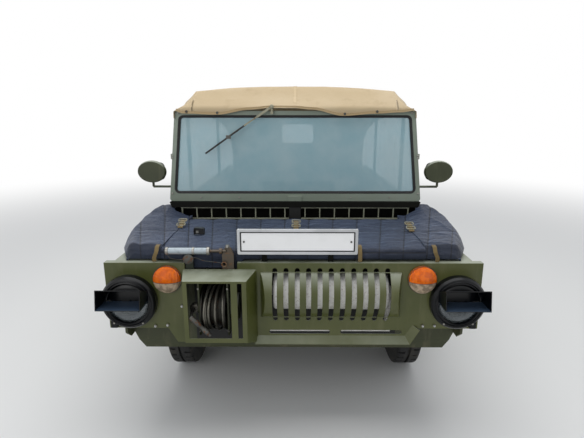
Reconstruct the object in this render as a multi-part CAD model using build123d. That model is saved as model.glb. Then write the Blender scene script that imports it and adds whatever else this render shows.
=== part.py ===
"""Light amphibious army 4x4 with a boat-shaped hull, open sides and a canvas top.

Millimetres, +Z up, the front faces -Y, +X is the vehicle's left.
The origin is on the ground under the middle of the vehicle.
"""
from build123d import *
import os
from math import atan2, cos, degrees, radians, sin

os.makedirs("parts", exist_ok=True)

# Overall sizes
LENGTH = 3682.0
WIDTH_SHIELD = 1712.0
ROOF_TOP_Z = 1690.0
HOOD_REACH = 150.0          # how far the lamp hoods stand out in front of the shield
TAIL_FITTINGS = 52.0        # how far the hitch stands out behind the tail panel

SHIELD_Y = -LENGTH / 2 + HOOD_REACH
TAIL_Y = LENGTH / 2 - TAIL_FITTINGS
SEAT = 0.3                  # gap between parts that seat on each other
RUN = 0.4                   # gap at a turning seat

# Wheels and axles
WHEELBASE = 1800.0
FRONT_OVERHANG = 690.0      # shield to front axle
TRACK = 1320.0
TYRE_R = 315.0
TYRE_WIDTH = 155.0
TREAD_DEPTH = 12.0
LUGS = 36                   # on each shoulder of a tyre
GROOVE_WIDTH = 14.0
GROOVE_REACH = 56.0
RIM_R = 165.0
RIM_WIDTH = 115.0
RIM_WALL = 5.0
AXLE_FRONT_Y = SHIELD_Y + FRONT_OVERHANG
AXLE_REAR_Y = AXLE_FRONT_Y + WHEELBASE
WHEEL_X = TRACK / 2
KINGPIN_X = 600.0
SPINDLE_R = 25.0

# Hull
HULL_HALF = 820.0
WALL = 12.0
FLOOR_Z = 345.0
CHINE_Z = 470.0
CHINE_IN = 55.0             # how far the hull narrows below the chine
DECK_Z = 865.0
GUNWALE_Z = 900.0
GUNWALE_WIDTH = 150.0
BOW_GAP = 160.0             # shield to bow plate, room for the muffler
BOW_KNEE_Z = 400.0
LAMP_ROOM = 74.0            # shield to the front edge of the hull sides, room for the lamp buckets
BOW_FOOT = 182.0            # shield to where the bow meets the floor
STERN_KNEE_Z = 520.0
STERN_RISE = 330.0
BULKHEAD = 716.0            # shield to bulkhead
ARCH_TOP_Z = 720.0
ARCH_FOOT_HALF = 385.0
ARCH_TOP_HALF = 275.0
ARCH_FRONT_IN = 360.0       # half width of the hull between the front wheels
ARCH_REAR_IN = 515.0
BOW_Y = SHIELD_Y + BOW_GAP
BULKHEAD_Y = SHIELD_Y + BULKHEAD
ACROSS = (-HULL_HALF - 80, HULL_HALF + 80)      # wide enough to cut the whole vehicle
LOAD_PANEL = (2125.0, 3105.0)                   # behind the shield, between the seats and the stern
LOAD_PANEL_HALF = 485.0
LOAD_PANEL_THICK = 3.0
RIB_PLACES = (610.0, 720.0)                     # heights of the ribs along the sides
RIB_SPAN = (1170.0, 2010.0)
RIB_R = 9.0

# Front shield
SHEET = 5.0
SHIELD_TOP_Z = 867.0
SHIELD_BOTTOM_Z = 475.0
SHIELD_LIP_Z = 510.0
LIP_REACH = 22.0
FLANGE = 34.0
PANEL_BOTTOM_Z = 547.0
PANEL_INNER_X = 584.0
PANEL_FOOT_X = 542.0
BULGE_X = 172.0
BULGE_HALF = 320.0
BULGE_DRAFT = 22.0
BULGE_DEPTH = 56.0
BULGE_LOW_Z = 604.0
BULGE_HIGH_Z = 822.0
SLOTS = 11
SLOT_PITCH = 51.0
SLOT_WIDTH = 22.0
SLOT_LOW_Z = 585.0
SLOT_HIGH_Z = 843.0
VENT_Z = 528.0
VENT_HEIGHT = 20.0
VENTS = [(-112.0, 172.0), (220.0, 506.0)]   # start x, end x

# Winch and its box in the shield
BOX_X = (-500.0, -166.0)
BOX_Z = (475.0, 835.0)
BOX_FRONT_X = (-476.0, -200.0)
BOX_FRONT_Z = (532.0, 821.0)
BOX_DEPTH = 112.0
BOX_OPENING_X = (-457.0, -268.0)
BOX_OPENING_Z = (553.0, 812.0)
BOX_SLOT_X = (-240.0, -220.0)
NOTCH_X = (-490.0, -252.0)
DRUM_X = (-412.0, -302.0)
DRUM_Y = SHIELD_Y + 28.0
DRUM_Z = 648.0
CABLE_PACK_R = 92.0
DRUM_FLANGE_R = 112.0
DRUM_SHAFT_R = 14.0
GUIDE_Z = 786.0             # top of the winch side plates, where the cable guide's bar lies

# Lamps
LAMP_X = 748.0
LAMP_Z = 686.0
LAMP_R = 125.0
LAMP_RING = 40.0
LENS_R = 93.0
TURN_X = 578.0
TURN_Z = 790.0
TURN_R = 61.0

# Muffler
MUFFLER_R = 86.0
MUFFLER_Z = 713.0
MUFFLER_BACK = 57.0
MUFFLER_X = (-92.0, 436.0)
PIPE_R = 22.0

# Engine lid, quilt and plate
LID_HALF = 450.0
LID_SPAN = (60.0, 545.0)    # behind the shield
LID_THICK = 10.0
LID_LAP = 28.0
LID_HINGE_X = 300.0
HINGE_BACK = 11.0           # lid edge to hinge axis
HINGE_UP = 14.0             # deck to hinge axis
HINGE_R = 8.0
HINGE_PIN_R = 4.0
HINGE_HALF = 20.0
QUILT_FRONT = 24.0
QUILT_REAR = 560.0
QUILT_HALF = 600.0
QUILT_SPLIT = 6.0
QUILT_LOW = 2 * SEAT + LID_THICK    # deck to the underside of the quilt on the lid
QUILT_TOP_FRONT_Z = 928.0
QUILT_TOP_REAR_Z = 940.0
QUILT_ROUND = 22.0
QUILT_EDGE_X = 858.0
QUILT_CORNER_X = 776.0
PLATE_X = 20.0
PLATE_SIZE = (540.0, 118.0)
PLATE_THICK = 6.0
PLATE_FRONT = 8.0
PLATE_LOW_Z = 905.0

# Cowl and windscreen
COWL_FRONT = 652.0
COWL_TOP_Z = 1012.0
COWL_HALF_TOP = 742.0
COWL_HALF_FOOT = 690.0
SCREEN_BACK = 700.0
SCREEN_FOOT_Z = 1014.0
SCREEN_TOP_Z = 1537.0
SCREEN_FOOT_HALF = 748.0
SCREEN_TOP_HALF = 688.0
SCREEN_BAR = 24.0
SCREEN_DEEP = 34.0
GLASS_THICK = 6.0

# Canvas top
CANVAS = 6.0
CANVAS_HALF = 694.0
CANVAS_EAVE_Z = 1520.0
CANVAS_SHOULDER_X = 590.0
CANVAS_SHOULDER_Z = 1655.0
CANVAS_FRONT = 682.0
CANVAS_BOW = 930.0
CANVAS_REAR = 2990.0
CANVAS_FOOT = 3380.0
BOW_R = 12.0
BOW_PLACES = (930.0, 1930.0, 2900.0)

# Driver's place
STEER_BACK = 1480.0
STEER_Z = 1052.0
STEER_R = 190.0
STEER_RIM_R = 13.0
STEER_TILT = 38.0
COLUMN_R = 20.0

# Tailgate
GATE_HALF = 500.0
GATE_LOW_Z = 545.0
GATE_THICK = 24.0
GATE_GAP = 6.0
GATE_PIN_R = 7.0

# Running gear
DRUM_IN = 35.0
BRAKE_R = 90.0
HUB_OUT = 42.0
VENT_COUNT = 8
VENT_CIRCLE = 126.0
VENT_R = 13.0
ARM_LENGTH = 280.0
TORSION_Z = 322.0
TORSION_R = 22.7
BOSS_R = 36.0
FRONT_ARM_X = (374.0, 416.0)
REAR_ARM_X = (530.0, 566.0)
YOKE_X = (505.0, 523.0)
KNUCKLE_HALF = 100.0
KINGPIN_R = 20.0
BACKING_X = (606.0, 618.0)
PORTAL_UP = 68.0
SHAFT_R = 15.0
SEAT_Z = 460.0
SEAT_TOP_Z = 860.0
SEAT_BACK_FOOT = 435.0      # seat front to the foot of its back sheet
SEAT_BACK_TOP = 455.0

# Tail and ramps
GATE_HINGE_X = 380.0
GATE_BARREL_R = 12.0
GATE_HINGE_Y = TAIL_Y + 28.0
GATE_HINGE_Z = 545.0
EYE_R = 11.0
RAMP_X = (704.0, 816.0)
RAMP_SPAN = (860.0, 3340.0)
RAMP_HIGH = 30.0
RAMP_HOLES = 22

NODES = {}


def node(name, shape):
    """Keep a finished piece under its node name."""
    NODES[name] = shape
    return shape


def block(x, y, z):
    """Box between three (low, high) pairs."""
    size = [abs(pair[1] - pair[0]) for pair in (x, y, z)]
    middle = [(pair[0] + pair[1]) / 2 for pair in (x, y, z)]
    return Pos(*middle) * Box(*size)


def along_x(points, x0, x1):
    """Prism of a (y, z) outline from x0 to x1."""
    face = Plane.YZ.offset(x0) * make_face(Polyline(*points, close=True))
    return extrude(face, amount=x1 - x0)


def along_y(points, y0, y1):
    """Prism of an (x, z) outline from y0 to y1."""
    face = Plane.XZ.offset(-y1) * make_face(Polyline(*points, close=True))
    return extrude(face, amount=y1 - y0)


def along_z(points, z0, z1):
    """Prism of an (x, y) outline from z0 to z1."""
    face = Plane.XY.offset(z0) * make_face(Polyline(*points, close=True))
    return extrude(face, amount=z1 - z0)


def rod(start, end, radius):
    """Round bar between two points."""
    line = Vector(*end) - Vector(*start)
    return extrude(Plane(origin=start, z_dir=line) * Circle(radius), amount=line.length)


def disc_x(x0, x1, y, z, radius):
    """Round bar along X between x0 and x1."""
    return rod((x0, y, z), (x1, y, z), radius)


def mirrored(shape):
    """The same shape on the other side of the vehicle."""
    return mirror(shape, about=Plane.YZ)


def both_sides(shape):
    """A shape and its twin on the other side, as one node."""
    return Compound(children=[shape, mirrored(shape)])


def behind(distance):
    """Y of a place given as a distance behind the shield."""
    return SHIELD_Y + distance


# Hull
def hull_outline(inset):
    """Side outline of the closed hull, moved inwards by inset."""
    return [
        (SHIELD_Y + SHEET + 2 * inset, DECK_Z + 200),
        (SHIELD_Y + SHEET + 2 * inset, PANEL_BOTTOM_Z),
        (BOW_Y + inset, BOW_KNEE_Z),
        (behind(BOW_FOOT) + inset, FLOOR_Z + inset),
        (TAIL_Y - STERN_RISE, FLOOR_Z + inset),
        (TAIL_Y - inset, STERN_KNEE_Z + inset),
        (TAIL_Y - inset, DECK_Z + 200),
    ]


def hull_section(inset):
    """Cross-section of the hull, with its chines, moved inwards by inset."""
    half = HULL_HALF - inset
    low = FLOOR_Z - 100 + inset
    foot = half - CHINE_IN * (CHINE_Z - low) / (CHINE_Z - FLOOR_Z)
    return [(-half, 1300), (-half, CHINE_Z), (-foot, low), (foot, low), (half, CHINE_Z), (half, 1300)]


def arch(axle_y, inner_x, grow):
    """Wheel arch cut on the left side, opened out by grow."""
    foot = ARCH_FOOT_HALF + grow
    top = ARCH_TOP_HALF + grow
    outline = [
        (axle_y - foot, 0),
        (axle_y - foot, TYRE_R + 90),
        (axle_y - top, ARCH_TOP_Z + grow),
        (axle_y + top, ARCH_TOP_Z + grow),
        (axle_y + foot, TYRE_R + 90),
        (axle_y + foot, 0),
    ]
    return along_x(outline, inner_x - grow, HULL_HALF + 100)


ARCHES = [(AXLE_FRONT_Y, ARCH_FRONT_IN), (AXLE_REAR_Y, ARCH_REAR_IN)]   # axle y, inner wall x


def hull_form(inset):
    """Closed hull form with its four wheel arches cut."""
    form = along_x(hull_outline(inset), -HULL_HALF - 50, HULL_HALF + 50)
    form &= along_y(hull_section(inset), SHIELD_Y - 50, TAIL_Y + 50)
    for axle_y, inner_x in ARCHES:
        cut = arch(axle_y, inner_x, inset)
        form -= cut
        form -= mirrored(cut)
    return form


def hull_shell():
    """Whole open hull: outer form less its bays, with gunwales left standing."""
    top = GUNWALE_Z
    outer = hull_form(0) - block(ACROSS, (-2000, BULKHEAD_Y), (DECK_Z - SHEET, 1400))
    outer -= block(ACROSS, (BULKHEAD_Y - 1, 2000), (top, 1400))
    inner = hull_form(WALL)
    engine_bay = inner & block(ACROSS, (BOW_Y + WALL, BULKHEAD_Y), (0, 1400))
    load = inner & block(ACROSS, (BULKHEAD_Y + WALL, TAIL_Y - WALL), (0, top - WALL))
    mouth_half = HULL_HALF - GUNWALE_WIDTH
    mouth = block((-mouth_half, mouth_half), (BULKHEAD_Y + WALL, TAIL_Y - WALL), (top - 60, top + 60))
    front_bay = block((-HULL_HALF + WALL, HULL_HALF - WALL), (SHIELD_Y - 10, BOW_Y), (0, 1400))
    lamp_room = block(ACROSS, (SHIELD_Y - 10, behind(LAMP_ROOM)), (0, 1400))
    return outer - engine_bay - load - mouth - front_bay - lamp_room


def gate_opening():
    """Opening in the tail panel for the drop tailgate."""
    return block((-GATE_HALF, GATE_HALF), (TAIL_Y - 60, TAIL_Y + 60), (GATE_LOW_Z, GUNWALE_Z + 60))


def load_panel():
    """Flat panel on the floor behind the seats, where stretchers and crates stand."""
    low = FLOOR_Z + WALL
    span = (behind(LOAD_PANEL[0]), behind(LOAD_PANEL[1]))
    return block((-LOAD_PANEL_HALF, LOAD_PANEL_HALF), span, (low, low + LOAD_PANEL_THICK))


def side_ribs():
    """Long ribs pressed out of the left side between the wheel arches."""
    x = HULL_HALF - 2
    ribs = [rod((x, behind(RIB_SPAN[0]), z), (x, behind(RIB_SPAN[1]), z), RIB_R) for z in RIB_PLACES]
    return ribs[0] + ribs[1]


HULL = hull_shell() - gate_opening()
TAIL_PLATE_Y = TAIL_Y - WALL
SIDE_SPLIT = ARCH_REAR_IN - WALL
BACK = (BULKHEAD_Y, TAIL_PLATE_Y)
HIGH = (0, 1400)

node("hull_bow", HULL & block(ACROSS, (SHIELD_Y - 10, BULKHEAD_Y), HIGH))
node("hull_floor", (HULL & block((-SIDE_SPLIT, SIDE_SPLIT), BACK, HIGH)) + load_panel())
node("hull_side_left", (HULL & block((SIDE_SPLIT, ACROSS[1]), BACK, HIGH)) + side_ribs())
node("hull_side_right", (HULL & block((ACROSS[0], -SIDE_SPLIT), BACK, HIGH)) + mirrored(side_ribs()))
node("hull_tail", HULL & block(ACROSS, (TAIL_PLATE_Y, TAIL_Y + 10), HIGH))

# Front deck, cowl, grille
def front_deck():
    """Deck over the engine bay, with its lid opening, and the cowl under the windscreen."""
    low = DECK_Z - SHEET
    deck = block((-HULL_HALF, HULL_HALF), (behind(FLANGE), behind(COWL_FRONT)), (low, DECK_Z))
    hole_half = LID_HALF - LID_LAP
    hole_span = (behind(LID_SPAN[0] + LID_LAP), behind(LID_SPAN[1] - LID_LAP))
    deck -= block((-hole_half, hole_half), hole_span, (low - 1, DECK_Z + 1))
    return deck


def cowl():
    """Raised box that carries the windscreen, open at the front for the intake grille."""
    foot_z = GUNWALE_Z
    outline = [
        (-COWL_HALF_FOOT, foot_z),
        (-COWL_HALF_TOP, COWL_TOP_Z),
        (COWL_HALF_TOP, COWL_TOP_Z),
        (COWL_HALF_FOOT, foot_z),
    ]
    side = [
        (behind(COWL_FRONT), foot_z),
        (behind(COWL_FRONT + 18), COWL_TOP_Z),
        (behind(SCREEN_BACK + SCREEN_DEEP + 26), COWL_TOP_Z),
        (behind(SCREEN_BACK + SCREEN_DEEP + 40), foot_z),
    ]
    body = along_y(outline, behind(COWL_FRONT - 30), behind(900)) & along_x(side, -900, 900)
    inner = [(x * 0.985, z + (8 if z == foot_z else -30)) for x, z in outline]
    hollow = along_y(inner, behind(COWL_FRONT - 30), behind(SCREEN_BACK + SCREEN_DEEP + 24))
    return body - hollow


def cowl_base():
    """Filler plate that brings the deck up to the cowl."""
    return block((-HULL_HALF, HULL_HALF), (behind(COWL_FRONT), BULKHEAD_Y), (DECK_Z - SHEET, GUNWALE_Z))


node("front_deck", front_deck() + cowl_base())
node("cowl", cowl())


def intake_grille():
    """Row of upright blades in the mouth of the cowl, either side of the middle bracket."""
    low = GUNWALE_Z + 8 + SEAT
    high = COWL_TOP_Z - 30 - SEAT
    y = (behind(COWL_FRONT + 22), behind(COWL_FRONT + 34))
    rail = 7.0
    half = COWL_HALF_FOOT * 0.985 - 2
    grille = block((-half, half), y, (low, low + rail)) + block((-half, half), y, (high - rail, high))
    first = 60.0
    blades = 8
    pitch = (half - 6 - first) / (blades - 1)
    for side in (-1, 1):
        for index in range(blades):
            x = side * (first + index * pitch)
            grille += block((x - 3, x + 3), y, (low, high))
    return grille + block((-34, 34), y, (low, high))


node("intake_grille", intake_grille())


# Front shield
def slot_up(x, low, high, width, y0, y1):
    """Upright slot cutter with round ends."""
    face = Pos(x, (low + high) / 2) * Rot(0, 0, 90) * SlotOverall(high - low, width)
    return extrude(Plane.XZ.offset(-y1) * face, amount=y1 - y0)


def slot_along(x0, x1, z, width, y0, y1):
    """Level slot cutter with round ends."""
    face = Pos((x0 + x1) / 2, z) * SlotOverall(x1 - x0, width)
    return extrude(Plane.XZ.offset(-y1) * face, amount=y1 - y0)


def bulge(inset, back):
    """Half-round swelling over the muffler, with drafted ends, moved inwards by inset, open to back."""
    low = BULGE_LOW_Z + inset
    high = BULGE_HIGH_Z - inset
    depth = BULGE_DEPTH - inset
    arc = ThreePointArc((SHIELD_Y, low), (SHIELD_Y - depth, (low + high) / 2), (SHIELD_Y, high))
    rear = Polyline((SHIELD_Y, high), (SHIELD_Y + back, high), (SHIELD_Y + back, low), (SHIELD_Y, low))
    bar = Plane.YZ.offset(BULGE_X - BULGE_HALF - 10) * make_face([arc, rear])
    half = BULGE_HALF - inset
    plan = [
        (BULGE_X - half, SHIELD_Y + back),
        (BULGE_X - half, SHIELD_Y),
        (BULGE_X - half + BULGE_DRAFT, SHIELD_Y - depth - 1),
        (BULGE_X + half - BULGE_DRAFT, SHIELD_Y - depth - 1),
        (BULGE_X + half, SHIELD_Y),
        (BULGE_X + half, SHIELD_Y + back),
    ]
    return extrude(bar, amount=2 * BULGE_HALF + 20) & along_z(plan, low - 20, high + 20)


def winch_box(inset, back):
    """Pressed box over the winch with sloping walls, moved inwards by inset, open to back."""
    rings = []
    for x, z, y in ((BOX_X, BOX_Z, SHIELD_Y + back), (BOX_FRONT_X, BOX_FRONT_Z, SHIELD_Y - BOX_DEPTH + inset)):
        left, right = x[0] + inset, x[1] - inset
        low, high = z[0] + inset, z[1] - inset
        ring = Polyline((left, low), (left, high), (right, high), (right, low), close=True)
        rings.append(Plane.XZ.offset(-y) * make_face(ring))
    return loft(Sketch() + rings)


def lip_stations():
    """Lower edge and crease of the folded lip, as pairs of (x, z), from the winch box to the lamp panel."""
    fold = SHIELD_LIP_Z - SHIELD_BOTTOM_Z
    run = Vector(PANEL_INNER_X - PANEL_FOOT_X, PANEL_BOTTOM_Z - SHIELD_BOTTOM_Z).normalized()
    side = Vector(-run.Y, run.X) * fold
    corner_run = (fold - side.Y) / run.Y
    start_x = BOX_X[1] - 12
    return [
        ((start_x, SHIELD_BOTTOM_Z), (start_x, SHIELD_LIP_Z)),
        ((PANEL_FOOT_X, SHIELD_BOTTOM_Z), (PANEL_FOOT_X + side.X + corner_run * run.X, SHIELD_LIP_Z)),
        ((PANEL_INNER_X, PANEL_BOTTOM_Z), (PANEL_INNER_X + side.X, PANEL_BOTTOM_Z + side.Y)),
    ]


def shield_outline():
    """Front outline of the shield above its lip, with its lamp panels and the notch for the cable."""
    half = WIDTH_SHIELD / 2
    notch_z = BOX_Z[1] - 2
    start, corner, end = lip_stations()
    return [
        (-half, PANEL_BOTTOM_Z),
        (-half, SHIELD_TOP_Z),
        (NOTCH_X[0], SHIELD_TOP_Z),
        (NOTCH_X[0], notch_z),
        (NOTCH_X[1], notch_z),
        (NOTCH_X[1], SHIELD_TOP_Z),
        (half, SHIELD_TOP_Z),
        (half, PANEL_BOTTOM_Z),
        end[0],
        end[1],
        corner[1],
        start[1],
        start[0],
        (-PANEL_FOOT_X, SHIELD_BOTTOM_Z),
        (-PANEL_INNER_X, PANEL_BOTTOM_Z),
    ]


def folded_lip():
    """Lip folded forwards along the lower edge of the shield and up beside the lamp panel."""
    profiles = []
    for (edge_x, edge_z), (crease_x, crease_z) in lip_stations():
        front = (crease_x, SHIELD_Y, crease_z)
        back = (crease_x, SHIELD_Y + SHEET, crease_z)
        tip = (edge_x, SHIELD_Y - LIP_REACH, edge_z)
        under = (edge_x, SHIELD_Y - LIP_REACH + SHEET, edge_z)
        profiles.append(make_face(Polyline(front, tip, under, back, close=True)))
    runs = [loft(Sketch() + profiles[index:index + 2], ruled=True) for index in (0, 1)]
    return runs[0] + runs[1]


def front_shield():
    """Pressed front shield: flange, lamp holes, slotted bulge, winch box and folded lip."""
    shield = along_y(shield_outline(), SHIELD_Y, SHIELD_Y + SHEET)
    shield += bulge(0, SHEET) + winch_box(0, SHEET)
    shield -= bulge(SHEET, SHEET + 4)
    shield -= winch_box(SHEET, SHEET + 4)
    flange_z = (SHIELD_TOP_Z - SHEET, SHIELD_TOP_Z)
    half = WIDTH_SHIELD / 2
    for x0, x1 in ((-half, NOTCH_X[0]), (NOTCH_X[1], half)):
        shield += block((x0, x1), (SHIELD_Y, SHIELD_Y + FLANGE), flange_z)
    shield += folded_lip()
    for index in range(SLOTS):
        x = BULGE_X + (index - (SLOTS - 1) / 2) * SLOT_PITCH
        shield -= slot_up(x, SLOT_LOW_Z, SLOT_HIGH_Z, SLOT_WIDTH, SHIELD_Y - 80, SHIELD_Y + 10)
    for x0, x1 in VENTS:
        shield -= slot_along(x0, x1, VENT_Z, VENT_HEIGHT, SHIELD_Y - 10, SHIELD_Y + 10)
    front = (SHIELD_Y - BOX_DEPTH - 10, SHIELD_Y - BOX_DEPTH / 2)
    shield -= block(BOX_OPENING_X, front, BOX_OPENING_Z)
    shield -= block(BOX_SLOT_X, front, BOX_OPENING_Z)
    for side in (-1, 1):
        shield -= rod((side * LAMP_X, SHIELD_Y - 5, LAMP_Z), (side * LAMP_X, SHIELD_Y + 10, LAMP_Z), LAMP_R - 15)
        shield -= rod((side * TURN_X, SHIELD_Y - 5, TURN_Z), (side * TURN_X, SHIELD_Y + 10, TURN_Z), 20)
    return shield


node("front_shield", front_shield())


# Muffler and engine
def muffler():
    """Round muffler across the nose, with its end caps, and the tail pipe below it."""
    y = behind(MUFFLER_BACK)
    x0, x1 = MUFFLER_X
    can = disc_x(x0, x1, y, MUFFLER_Z, MUFFLER_R)
    can = fillet(can.edges().filter_by(GeomType.CIRCLE), 12)
    can += disc_x(x0 - 46, x0 + 5, y, MUFFLER_Z, PIPE_R)
    can += disc_x(x1 - 5, x1 + 40, y, MUFFLER_Z, PIPE_R)
    can += rod((x1 + 20, y, MUFFLER_Z), (x1 + 20, y, VENT_Z + 10), PIPE_R)
    can += rod((x1 + 20, behind(44), VENT_Z + 6), (x0 - 30, behind(44), VENT_Z + 6), PIPE_R)
    for x in (x0 + 70, x1 - 70):
        can += block((x - 15, x + 15), (y + MUFFLER_R - 12, BOW_Y - SEAT), (MUFFLER_Z - 14, MUFFLER_Z + 14))
    return can


node("muffler", muffler())
ENGINE = ((-240.0, 240.0), (behind(250), behind(640)), (400.0, 800.0))
ENGINE_FOOT = block((-200, 200), (behind(320), behind(560)), (FLOOR_Z + WALL, ENGINE[2][0]))
node("engine_block", block(*ENGINE) + ENGINE_FOOT)


# Winch
def winch_frame():
    """Two side plates, the gear case and the tie bars that carry the winch drum."""
    plate = 8.0
    x0 = DRUM_X[0] - 6 - plate
    x1 = DRUM_X[1] + 6
    reach = (DRUM_Y - 80, BOW_Y - SEAT)
    height = (DRUM_Z - 110, GUIDE_Z)
    frame = block((x0, x0 + plate), reach, height) + block((x1, x1 + plate), reach, height)
    frame += disc_x(x1, x1 + 46, DRUM_Y, DRUM_Z, 62)
    frame += disc_x(x0 - 16, x0 + 2, DRUM_Y, DRUM_Z, 30)
    for z in (height[0] + 12, height[1] - 12):
        frame += disc_x(x0, x1 + plate, BOW_Y - 30, z, 8)
    frame -= disc_x(DRUM_X[0] - 12, DRUM_X[1] + 16, DRUM_Y, DRUM_Z, DRUM_SHAFT_R + RUN)
    return frame


def winch_drum():
    """Drum with its two flanges, its shaft and the cable wound on it."""
    x0, x1 = DRUM_X
    drum = disc_x(x0, x1, DRUM_Y, DRUM_Z, CABLE_PACK_R)
    drum += disc_x(x0, x0 + 6, DRUM_Y, DRUM_Z, DRUM_FLANGE_R)
    drum += disc_x(x1 - 6, x1, DRUM_Y, DRUM_Z, DRUM_FLANGE_R)
    return drum + disc_x(x0 - 11, x1 + 12, DRUM_Y, DRUM_Z, DRUM_SHAFT_R)


node("winch_frame", winch_frame())
node("winch_drum", winch_drum())

# Lamps
def spun_y(points, x, z):
    """Solid of a (radius, y) outline turned about an axis along Y at x, z, y from the shield."""
    face = make_face(Polyline(*points, close=True))
    return Pos(x, SHIELD_Y, z) * revolve(face, axis=Axis.Y)


def hood(x):
    """Blackout hood: a rising roof, a level shelf and two side walls on the lamp ring, open in front."""
    sheet = 3.0
    half = LENS_R + 4
    ring = -LAMP_RING - 1
    clear = -LAMP_RING - 14
    shelf = 14.0
    roof_back, roof_front = 62.0, 103.0
    roof_reach = HOOD_REACH - 16
    rise = (roof_front - roof_back) / (roof_reach + ring)
    beyond = HOOD_REACH + 30
    outer = [(ring, shelf), (ring, roof_back), (-roof_reach, roof_front), (-HOOD_REACH, shelf + 4), (-HOOD_REACH, shelf)]
    inner = [(0, shelf + 4), (0, roof_back - 4.5 + rise * ring), (-beyond, roof_back - 4.5 + rise * (beyond + ring)), (-beyond, shelf + 4)]
    shell = along_x([(SHIELD_Y + y, LAMP_Z + z) for y, z in outer], x - half, x + half)
    shell -= along_x([(SHIELD_Y + y, LAMP_Z + z) for y, z in inner], x - half + sheet, x + half - sheet)
    return shell - block((x - half + sheet, x + half - sheet), (SHIELD_Y + clear, SHIELD_Y), (LAMP_Z, LAMP_Z + LAMP_R))


def headlamp(x):
    """Round lamp bucket with its ring, its clamp foot and its hood."""
    hole = LAMP_R - 16
    ring = LAMP_RING
    bucket = [(0, 66), (48, 62), (92, 34), (hole, 6), (hole, 0), (LAMP_R, 0), (LAMP_R, -ring + 10)]
    bucket += [(LAMP_R - 8, -ring), (LENS_R + 4, -ring - 6), (LENS_R, -ring - 2), (LENS_R, -ring + 14)]
    bucket += [(84, -ring + 14), (78, 10), (40, 50), (0, 54)]
    lamp = spun_y(bucket, x, LAMP_Z)
    lamp += block((x + 62, x + 90), (SHIELD_Y - 28, SHIELD_Y), (LAMP_Z - 126, LAMP_Z - 94))
    return lamp + (hood(x) - spun_y([(0, 70), (LAMP_R - 1, 70), (LAMP_R - 1, -ring + 8), (0, -ring + 8)], x, LAMP_Z))


def lamp_lens(x):
    """Domed front glass of a headlamp."""
    y = -LAMP_RING
    edge = LENS_R - SEAT
    front = ThreePointArc((0, y - 12), (edge * 0.55, y - 8), (edge, y + 6))
    sides = Polyline((edge, y + 6), (edge, y + 12), (0, y - 2), (0, y - 12))
    return Pos(x, SHIELD_Y, LAMP_Z) * revolve(make_face([front, sides]), axis=Axis.Y)


def turn_lamp(x):
    """Round turn lamp with a domed lens on a flat base."""
    edge = TURN_R
    dome = ThreePointArc((0, -46), (edge * 0.72, -36), (edge - 3, -14))
    sides = Polyline((edge - 3, -14), (edge, -12), (edge, 0), (18, 0), (18, 12), (0, 12), (0, -46))
    return Pos(x, SHIELD_Y, TURN_Z) * revolve(make_face([dome, sides]), axis=Axis.Y)


node("headlamp_left", headlamp(LAMP_X))
node("headlamp_right", mirrored(headlamp(LAMP_X)))
node("lamp_lenses", both_sides(lamp_lens(LAMP_X)))
node("turn_lamps", both_sides(turn_lamp(TURN_X)))


# Engine lid, quilt and plate
LID_HINGE_Y = behind(LID_SPAN[1] + HINGE_BACK)
LID_HINGE_Z = DECK_Z + HINGE_UP


def engine_lid():
    """Flat lid over the engine bay with two hinge barrels and the plate brackets."""
    span = (behind(LID_SPAN[0]), behind(LID_SPAN[1]))
    z = (DECK_Z + SEAT, DECK_Z + SEAT + LID_THICK)
    lid = block((-LID_HALF, LID_HALF), span, z)
    for x in (-LID_HINGE_X, LID_HINGE_X):
        lid += disc_x(x - HINGE_HALF, x + HINGE_HALF, LID_HINGE_Y, LID_HINGE_Z, HINGE_R)
        lid += block((x - HINGE_HALF, x + HINGE_HALF), (span[1] - 2, LID_HINGE_Y), (z[0] + 4, LID_HINGE_Z))
        lid -= disc_x(x - 30, x + 30, LID_HINGE_Y, LID_HINGE_Z, HINGE_PIN_R + RUN)
    back = behind(PLATE_FRONT + PLATE_THICK)
    for x in (PLATE_X - 150, PLATE_X + 150):
        lid += block((x - 12, x + 12), (back, span[0] + 2), (z[0] + 4, z[1]))
        lid += block((x - 12, x + 12), (back, back + 4), (z[0] + 4, PLATE_LOW_Z + 60))
    return lid


def lid_hinges():
    """Fixed lugs and pins of the lid's two hinges, standing on the deck."""
    lugs = []
    for x in (-LID_HINGE_X, LID_HINGE_X):
        lug = disc_x(x - 31, x + 31, LID_HINGE_Y, LID_HINGE_Z, HINGE_PIN_R)
        for start in (x - 31, x + HINGE_HALF + 1):
            lug += disc_x(start, start + 10, LID_HINGE_Y, LID_HINGE_Z, HINGE_R)
            y = (LID_HINGE_Y - HINGE_R, LID_HINGE_Y + HINGE_R)
            lug += block((start, start + 10), y, (DECK_Z, LID_HINGE_Z))
        lugs.append(lug)
    return lugs[0] + lugs[1]


def lid_quilt():
    """Padded cover on the lid: a plain rounded pad."""
    low = DECK_Z + QUILT_LOW
    outline = [
        (behind(QUILT_FRONT), low),
        (behind(QUILT_FRONT), QUILT_TOP_FRONT_Z - QUILT_ROUND),
        (behind(QUILT_FRONT + QUILT_ROUND), QUILT_TOP_FRONT_Z),
        (behind(QUILT_REAR - QUILT_ROUND), QUILT_TOP_REAR_Z),
        (behind(QUILT_REAR), QUILT_TOP_REAR_Z - QUILT_ROUND),
        (behind(QUILT_REAR), LID_HINGE_Z + HINGE_R + 4),
        (LID_HINGE_Y - HINGE_R - 6, LID_HINGE_Z + HINGE_R + 4),
        (LID_HINGE_Y - HINGE_R - 6, low),
    ]
    return along_x(outline, -QUILT_HALF, QUILT_HALF)


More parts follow.
